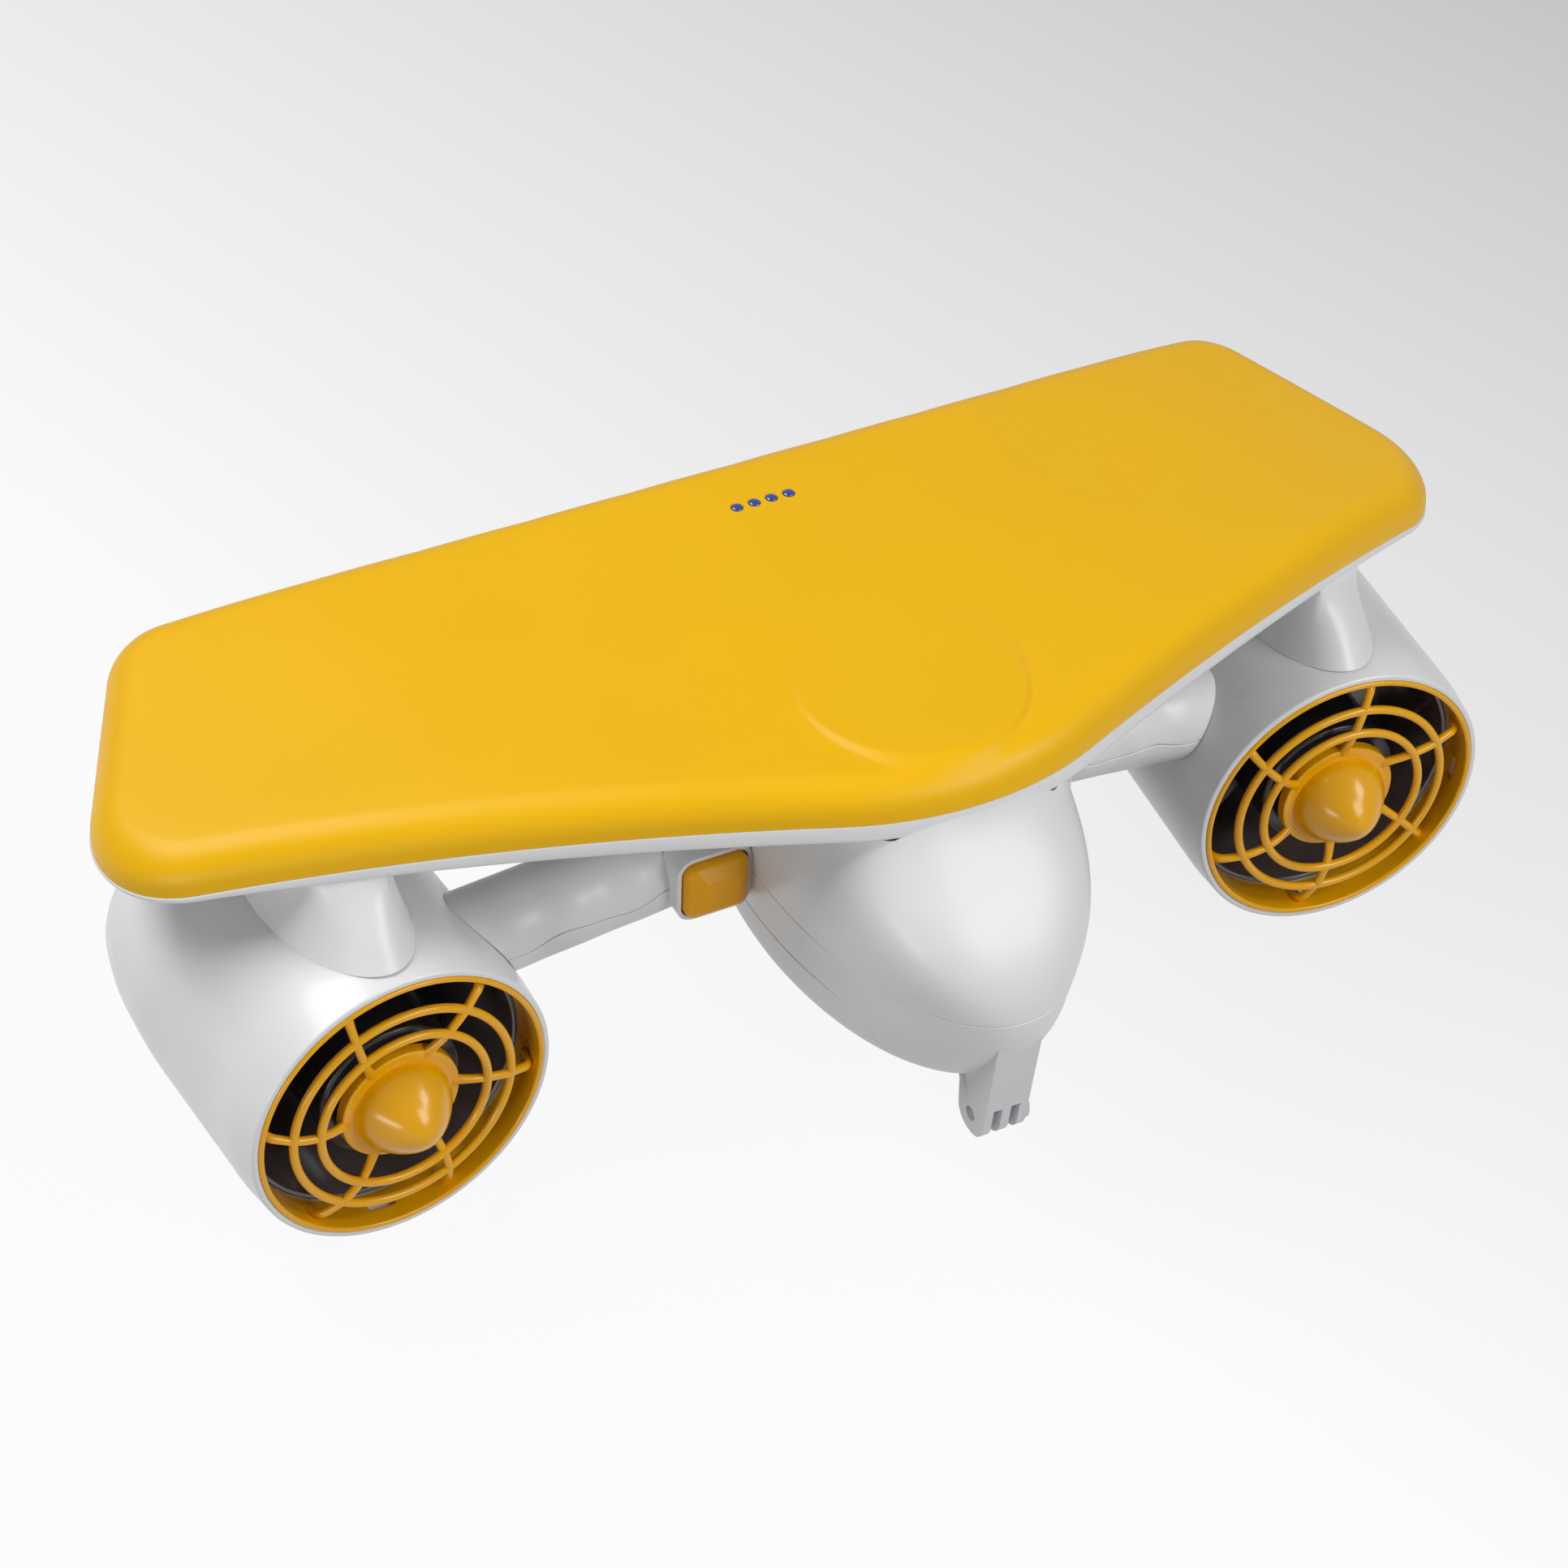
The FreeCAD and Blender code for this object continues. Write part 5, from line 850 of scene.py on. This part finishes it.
def handle_half(sign, upper):
    """Outer skin of one half of a handle, as a grid of points."""
    alongs = np.linspace(0.0, 1.0, 64)
    turns = np.linspace(0.0, 1.0, 44)
    grid = np.zeros((len(turns), len(alongs), 3))
    for j, share in enumerate(alongs):
        front = front_parting(share)
        if upper:
            first, last = PARTING_GAP, front - PARTING_GAP
        else:
            first, last = front + PARTING_GAP, 2 * math.pi - PARTING_GAP
        for i, part in enumerate(turns):
            turn = first + (last - first) * part
            start, stop = handle_ends(sign, turn)
            grid[i, j] = handle_point(sign, start + (stop - start) * share, turn)
    return grid


def rounded_tool(x, z, width, height, radius, front, back):
    """Closed block with rounded edges along the travel, as a tool."""
    w, h = width / 2, height / 2
    loop = rounded_line([(x - w, z - h, radius), (x + w, z - h, radius), (x + w, z + h, radius),
                         (x - w, z + h, radius)], True, 9.2)
    n = len(loop)
    points = [(a, front, b) for a, b in loop] + [(a, back, b) for a, b in loop]
    faces = [tuple(range(n)), tuple(range(n, 2 * n))[::-1]]
    faces += [(i, n + i, n + (i + 1) % n, (i + 1) % n) for i in range(n)]
    return points, faces


TRIGGER_X, TRIGGER_Z, TRIGGER_WIDTH, TRIGGER_HEIGHT, BEZEL_PLAY = 57.0, 37.5, 22.0, 21.0, 2.4
for side, sign in SIDES.items():
    spine = [(sign * (HANDLE_X + s * HANDLE_REACH * math.cos(DROOP)), HANDLE_Y + 1.8 * max(0.0, s + 0.3),
              HANDLE_Z - s * HANDLE_REACH * math.sin(DROOP) - 2.0 * max(0.0, s + 0.3))
             for s in np.linspace(-0.6, 0.6, 66)]
    opening = rounded_tool(sign * TRIGGER_X, TRIGGER_Z, TRIGGER_WIDTH + BEZEL_PLAY,
                           TRIGGER_HEIGHT + BEZEL_PLAY, 4.6, 0.0, 33.0)
    for half, upper in (("upper", True), ("lower", False)):
        shell = wall(handle_half(sign, upper), HANDLE_WALL, 0.22, False, np.array([spine]))
        piece = show(side + "_handle_" + half, *shell, shell_white, "hull",
                     ["%s_handle_%s_shell" % (side, half)])
        cut_out(piece, *opening)

# Triggers: chunky yellow keys with faceted fronts. Each slides back in a thin white
# bezel against a coil spring, with a magnet that a sensor behind it reads.
trigger_yellow = moulding("trigger_yellow", (0.88, 0.395, 0.002), 0.36, 2400.0, 0.00001, 0.015, 0.05,
                          specular=0.3)
TRIGGER_FRONT = 7.5
# Outlines of the key from its front: narrower by, corner radius, behind the front
KEY_STEPS = ((10.4, 1.4, 0.0), (9.4, 1.8, 0.15), (1.8, 3.4, 3.3), (0.8, 3.8, 4.1), (0.4, 4.0, 5.4),
             (0.4, 4.0, 14.6))
for side, sign in SIDES.items():
    loops = []
    for narrower, radius, behind in KEY_STEPS:
        w, h = (TRIGGER_WIDTH - narrower) / 2, (TRIGGER_HEIGHT - narrower) / 2
        flat = rounded_line([(-w, -h, radius), (w, -h, radius), (w, h, radius), (-w, h, radius)], True, 9.2)
        loops.append([(sign * TRIGGER_X + a, TRIGGER_FRONT + behind, TRIGGER_Z + b) for a, b in flat])
    n = len(loops[0])
    faces = [tuple(range(n))[::-1], tuple((len(loops) - 1) * n + i for i in range(n))]
    faces += bands(n, len(loops))
    key = show(side + "_trigger_key", np.vstack(loops), faces, trigger_yellow, side + "_trigger_body",
               [side + "_trigger"], 50.0)
    softened = key.modifiers.new("softened", "BEVEL")
    softened.width = 0.0005
    softened.segments = 3
    softened.limit_method = "ANGLE"
    softened.angle_limit = math.radians(12.0)
    carry(side + "_trigger_bezel", shell_white, "hull")
    carry(side + "_trigger_spring", screw_steel, side + "_trigger_body", 60.0)

# Nacelles: glossy white ducts, a little barrelled, with a long shallow dent outboard
# and a rounded lip round each grille. Each hangs from its pylon, toed out.
nacelle_white = moulding("nacelle_white", (0.80, 0.805, 0.815), 0.30, 1500.0, 0.000006, 0.01, 0.05, coat=0.15)
nacelle_profile = rounded_line([
    (50.6, 0.0, 0.9), (NACELLE_RADIUS, 12.0, 60.0), (NACELLE_RADIUS, 74.0, 150.0), (49.4, 98.0, 60.0),
    (45.6, 111.0, 1.8), (42.0, 111.0, 1.0), (42.0, 101.0, 2.0), (45.3, 95.75), (46.85, 95.75),
    (46.85, 13.05), (48.7, 13.05), (48.7, 0.0, 0.4)], True, 12.0, 4.0)
RING = 192
duct_turns = round_turns(RING)


def duct(profile, shape=None):
    """Closed ring mesh round a thruster's axis from a closed (radius, depth) line."""
    rings = []
    for r, depth in profile:
        radius = np.full(RING, r) if shape is None else shape(r, depth)
        rings.append(np.column_stack((radius * np.cos(duct_turns), np.full(RING, depth),
                                      radius * np.sin(duct_turns))))
    return np.vstack(rings), bands(RING, len(profile), True)


def dented(r, depth, sign):
    """Radii round one ring of the nacelle, pressed in by the dent on the outboard side."""
    outboard = 0.0 if sign > 0 else math.pi
    turn = (duct_turns - outboard - sign * 0.12 + math.pi) % (2 * math.pi) - math.pi
    dent = 1.7 * np.exp(-(turn / 0.30) ** 2) * math.exp(-((depth - 46.0) / 26.0) ** 4)
    return r - dent * (r > 49.0) * (4.0 < depth < 96.0)


for side, sign in SIDES.items():
    points, faces = duct(nacelle_profile, lambda r, depth: dented(r, depth, sign))
    show(side + "_nacelle_shell", at_thruster(points, sign), faces, nacelle_white, "hull",
         [side + "_nacelle"], 40.0)

# Duct liners: glossy dark inner tubes pushed into the nacelles from the front, which
# the grille's collar holds in place.
liner_dark = moulding("liner_dark", (0.125, 0.098, 0.096), 0.14, 900.0, 0.000004, 0.06, 0.04, coat=0.6)
liner_profile = rounded_line([(45.2, 13.9, 0.5), (46.8, 13.1, 0.5), (46.8, 95.7), (45.2, 95.7)],
                             True, 20.0, 5.0)
for side, sign in SIDES.items():
    points, faces = duct(liner_profile)
    show(side + "_duct_tube", at_thruster(points, sign), faces, liner_dark, "hull",
         [side + "_duct_liner"], 40.0)

# Grilles: one glossy yellow moulding of collar, two rings, six bars and a stepped hub
# with a blunt nose. The bars dive from the hub's flange to the collar's wall, and the
# collar is a push fit in the nacelle's mouth.
grille_yellow = moulding("grille_yellow", (0.88, 0.425, 0.001), 0.22, 1600.0, 0.000008, 0.02, 0.06,
                         coat=0.15, specular=0.35)
collar_profile = rounded_line([(48.65, -0.6, 0.85), (48.65, 13.0, 0.2), (46.7, 13.0, 0.2),
                               (46.7, -0.6, 0.85)], True, 18.0, 0.95)
reach = np.linspace(0.0, 1.0, 40)
NOSE_RADIUS, NOSE_REACH = 16.2, 17.6
nose_radii = NOSE_RADIUS * (1.0 - reach ** 1.42) ** 0.66
nose_line = np.column_stack((nose_radii[::-1], 0.6 - NOSE_REACH * reach[::-1]))
flange = rounded_line([(NOSE_RADIUS, 1.2), (16.9, 1.3, 0.5), (19.9, 1.3, 0.6), (20.2, 5.0, 0.3), (10.0, 5.0),
                       (10.0, 2.0, 1.0), (0.0, 1.0)], False, 12.0, 1.2)
hub_profile = np.vstack((nose_line, flange))
OUTER_RING, INNER_RING, BAR, SWIRL = 37.0, 28.3, 1.45, math.radians(-9.5)
bar_line = rounded_line([(18.0, 2.4), (INNER_RING, -1.2, 30.0), (OUTER_RING, 0.0, 24.0), (45.0, 2.6, 5.0),
                         (47.0, 9.0)], False, 6.0, 1.5)


def swept_bar(line, radius, sides=20):
    """Round bar along a line of (radius, depth) points in the plane of one spoke."""
    way = np.gradient(line, axis=0)
    way /= np.linalg.norm(way, axis=1)[:, None]
    normal = np.column_stack((-way[:, 1], way[:, 0]))
    loops = []
    for p, n in zip(line, normal):
        swell = (1.0 + 0.25 * math.exp(-((p[0] - 46.0) / 3.0) ** 2)
                 + 0.25 * math.exp(-((p[0] - 19.0) / 2.5) ** 2))
        turns = round_turns(sides)
        flat = p + np.outer(np.cos(turns) * radius, n)
        lean = SWIRL * (p[0] - 20.0) / 26.0
        aside = np.sin(turns) * radius * swell
        loops.append(np.column_stack((flat[:, 0] * math.cos(lean) - aside * math.sin(lean), flat[:, 1],
                                      flat[:, 0] * math.sin(lean) + aside * math.cos(lean))))
    faces = [tuple(range(sides)), tuple((len(loops) - 1) * sides + i for i in range(sides))[::-1]]
    return np.vstack(loops), faces + bands(sides, len(loops))


def ring_bar(middle, depth, radius, sides=20):
    """Round ring of the grille."""
    turns = round_turns(sides)
    return duct([(middle + radius * math.cos(a), depth + radius * math.sin(a)) for a in turns])


def turned_hub(profile):
    """Solid hub round the thruster's axis."""
    points, faces = turned(profile, 128)
    return np.column_stack((points[:, 0], points[:, 2], points[:, 1])), faces


# Geometry Nodes copy one bar round the hub: a point for each bar, turned by its number
bar_tree = bpy.data.node_groups.new("bars_round_the_hub", "GeometryNodeTree")
bar_tree.interface.new_socket("Bar", in_out="INPUT", socket_type="NodeSocketGeometry")
bar_count = bar_tree.interface.new_socket("Bar count", in_out="INPUT", socket_type="NodeSocketInt")
bar_phase = bar_tree.interface.new_socket("First bar angle", in_out="INPUT",
                                          socket_type="NodeSocketFloat")
bar_tree.interface.new_socket("Bars", in_out="OUTPUT", socket_type="NodeSocketGeometry")
bar_in = bar_tree.nodes.new("NodeGroupInput")
bar_out = bar_tree.nodes.new("NodeGroupOutput")
roots = bar_tree.nodes.new("GeometryNodePoints")
which = bar_tree.nodes.new("GeometryNodeInputIndex")
step_angle = bar_tree.nodes.new("ShaderNodeMath")
step_angle.operation = "DIVIDE"
step_angle.inputs[0].default_value = -2 * math.pi
bar_angle = bar_tree.nodes.new("ShaderNodeMath")
bar_angle.operation = "MULTIPLY_ADD"
spin = bar_tree.nodes.new("ShaderNodeCombineXYZ")
placed = bar_tree.nodes.new("GeometryNodeInstanceOnPoints")
solid = bar_tree.nodes.new("GeometryNodeRealizeInstances")
finish = bar_tree.nodes.new("GeometryNodeSetMaterial")
finish.inputs["Material"].default_value = grille_yellow
wire(bar_tree, (bar_in, "Bar count", roots, "Count"), (bar_in, "Bar count", step_angle, 1),
     (which, "Index", bar_angle, 0), (step_angle, 0, bar_angle, 1), (bar_in, "First bar angle", bar_angle, 2),
     (bar_angle, 0, spin, "Y"), (roots, 0, placed, "Points"), (bar_in, "Bar", placed, "Instance"),
     (spin, 0, placed, "Rotation"), (placed, 0, solid, 0), (solid, 0, finish, "Geometry"),
     (finish, 0, bar_out, "Bars"))


def bars_round_hub(points, faces, count, phase):
    """Copies of one bar round the thruster's axis, as points and faces."""
    mesh = bpy.data.meshes.new("one_bar")
    mesh.from_pydata([tuple(p) for p in points], [], faces)
    bar = bpy.data.objects.new("one_bar", mesh)
    scene.collection.objects.link(bar)
    copies = bar.modifiers.new("copies", "NODES")
    copies.node_group = bar_tree
    copies[bar_count.identifier] = count
    copies[bar_phase.identifier] = -phase
    result = bpy.data.meshes.new_from_object(bar.evaluated_get(bpy.context.evaluated_depsgraph_get()))
    spots = np.array([tuple(v.co) for v in result.vertices])
    loops = [tuple(p.vertices) for p in result.polygons]
    bpy.data.objects.remove(bar)
    return spots, loops


# Four windows pierce each collar, cut by blocks given as (radius, depth, aside)
WINDOW_DEPTH, WINDOW_LENGTH, WINDOW_WIDTH, WINDOW_PHASE = 7.6, 4.4, 9.0, math.radians(6.5)
BLOCK_FACES = [(0, 1, 2, 3), (7, 6, 5, 4), (0, 4, 5, 1), (1, 5, 6, 2), (2, 6, 7, 3), (3, 7, 4, 0)]
window_block = [(r, WINDOW_DEPTH + half, w) for half in (-WINDOW_LENGTH / 2, WINDOW_LENGTH / 2)
                for r, w in ((44.0, -WINDOW_WIDTH / 2), (50.6, -WINDOW_WIDTH / 2),
                             (50.6, WINDOW_WIDTH / 2), (44.0, WINDOW_WIDTH / 2))]
for side, sign in SIDES.items():
    phase = 0.0 if sign < 0 else math.radians(30.0)
    parts = [ring_bar(OUTER_RING, 0.0, BAR), ring_bar(INNER_RING, -1.0, BAR), turned_hub(hub_profile)]
    parts.append(bars_round_hub(*swept_bar(bar_line, BAR), 6, phase))
    points, faces = joined(parts)
    show(side + "_grille_bars", at_thruster(points, sign), faces, grille_yellow, "hull",
         [side + "_grille"], 40.0)
    points, faces = duct(collar_profile)
    collar = show(side + "_grille_collar", at_thruster(points, sign), faces, grille_yellow, "hull",
                  [side + "_grille"], 40.0)
    windows = []
    for a in [WINDOW_PHASE + k * math.pi / 2 for k in range(4)]:
        turned_block = [(r * math.cos(a) + w * math.sin(a), s, w * math.cos(a) - r * math.sin(a))
                        for r, s, w in window_block]
        windows.append((at_thruster(turned_block, sign), BLOCK_FACES))
    cut_out(collar, *joined(windows), 40.0)

# Propellers and motors: three broad black blades pushed on the bell of an out-runner
# motor. Its steel stator sits on a vaned carrier, and a yellow guard closes the duct.
rotor_black = moulding("rotor_black", (0.014, 0.014, 0.016), 0.30, 1400.0, 0.00001, 0.08, 0.06, coat=0.2)
bearing_steel = moulding("bearing_steel", (0.55, 0.56, 0.58), 0.22, 1200.0, 0.000004, 0.04, 0.06,
                         metallic=1.0)
magnet_nickel = moulding("magnet_nickel", (0.60, 0.58, 0.55), 0.30, 1200.0, 0.000004, 0.04, 0.06,
                         metallic=1.0)
stator_steel = moulding("stator_steel", (0.28, 0.28, 0.30), 0.40, 1800.0, 0.00001, 0.06, 0.08, metallic=1.0)
for side in SIDES:
    rotor = side + "_rotor"
    carry(side + "_propeller", rotor_black, rotor, 40.0)
    for piece, material in (("_rotor_bell", stator_steel), ("_rotor_magnets", magnet_nickel),
                            ("_motor_shaft", bearing_steel), ("_prop_nut", screw_steel)):
        carry(side + piece, material, rotor)
    for piece, material in (("_motor_stator", stator_steel), ("_bearings", bearing_steel),
                            ("_shaft_seal", seal_rubber), ("_motor_mount", rotor_black),
                            ("_tail_cone", rotor_black)):
        carry(side + piece, material, "hull")
    carry(side + "_exhaust_guard", grille_yellow, "hull", 40.0)
    carry(side + "_trigger_magnet", magnet_nickel, side + "_trigger_body")

# Battery pack and electronics: a grey removable pack with brass contacts in the pod,
# and green boards for the lamps, the motors and the triggers, screwed or clipped in.
battery_grey = moulding("battery_grey", (0.16, 0.17, 0.18), 0.45, 1600.0, 0.00001, 0.04, 0.05)
contact_brass = moulding("contact_brass", (0.70, 0.50, 0.20), 0.28, 1600.0, 0.000004, 0.04, 0.06,
                         metallic=1.0)
circuit_green = moulding("circuit_green", (0.01, 0.14, 0.05), 0.35, 1600.0, 0.00001, 0.06, 0.05)
carry("battery_pack", battery_grey, "hull")
carry("battery_contacts", contact_brass, "hull")
carry("led_board", circuit_green, "hull")
carry("controller_board", circuit_green, "hull")
for side in SIDES:
    carry(side + "_trigger_sensor", circuit_green, "hull")

# Screws of the deck and the hatch: stainless steel, driven from below and sunk in
# round seats.
carry("deck_screws", screw_steel, "hull")
carry("hatch_screws", screw_steel, "hull")
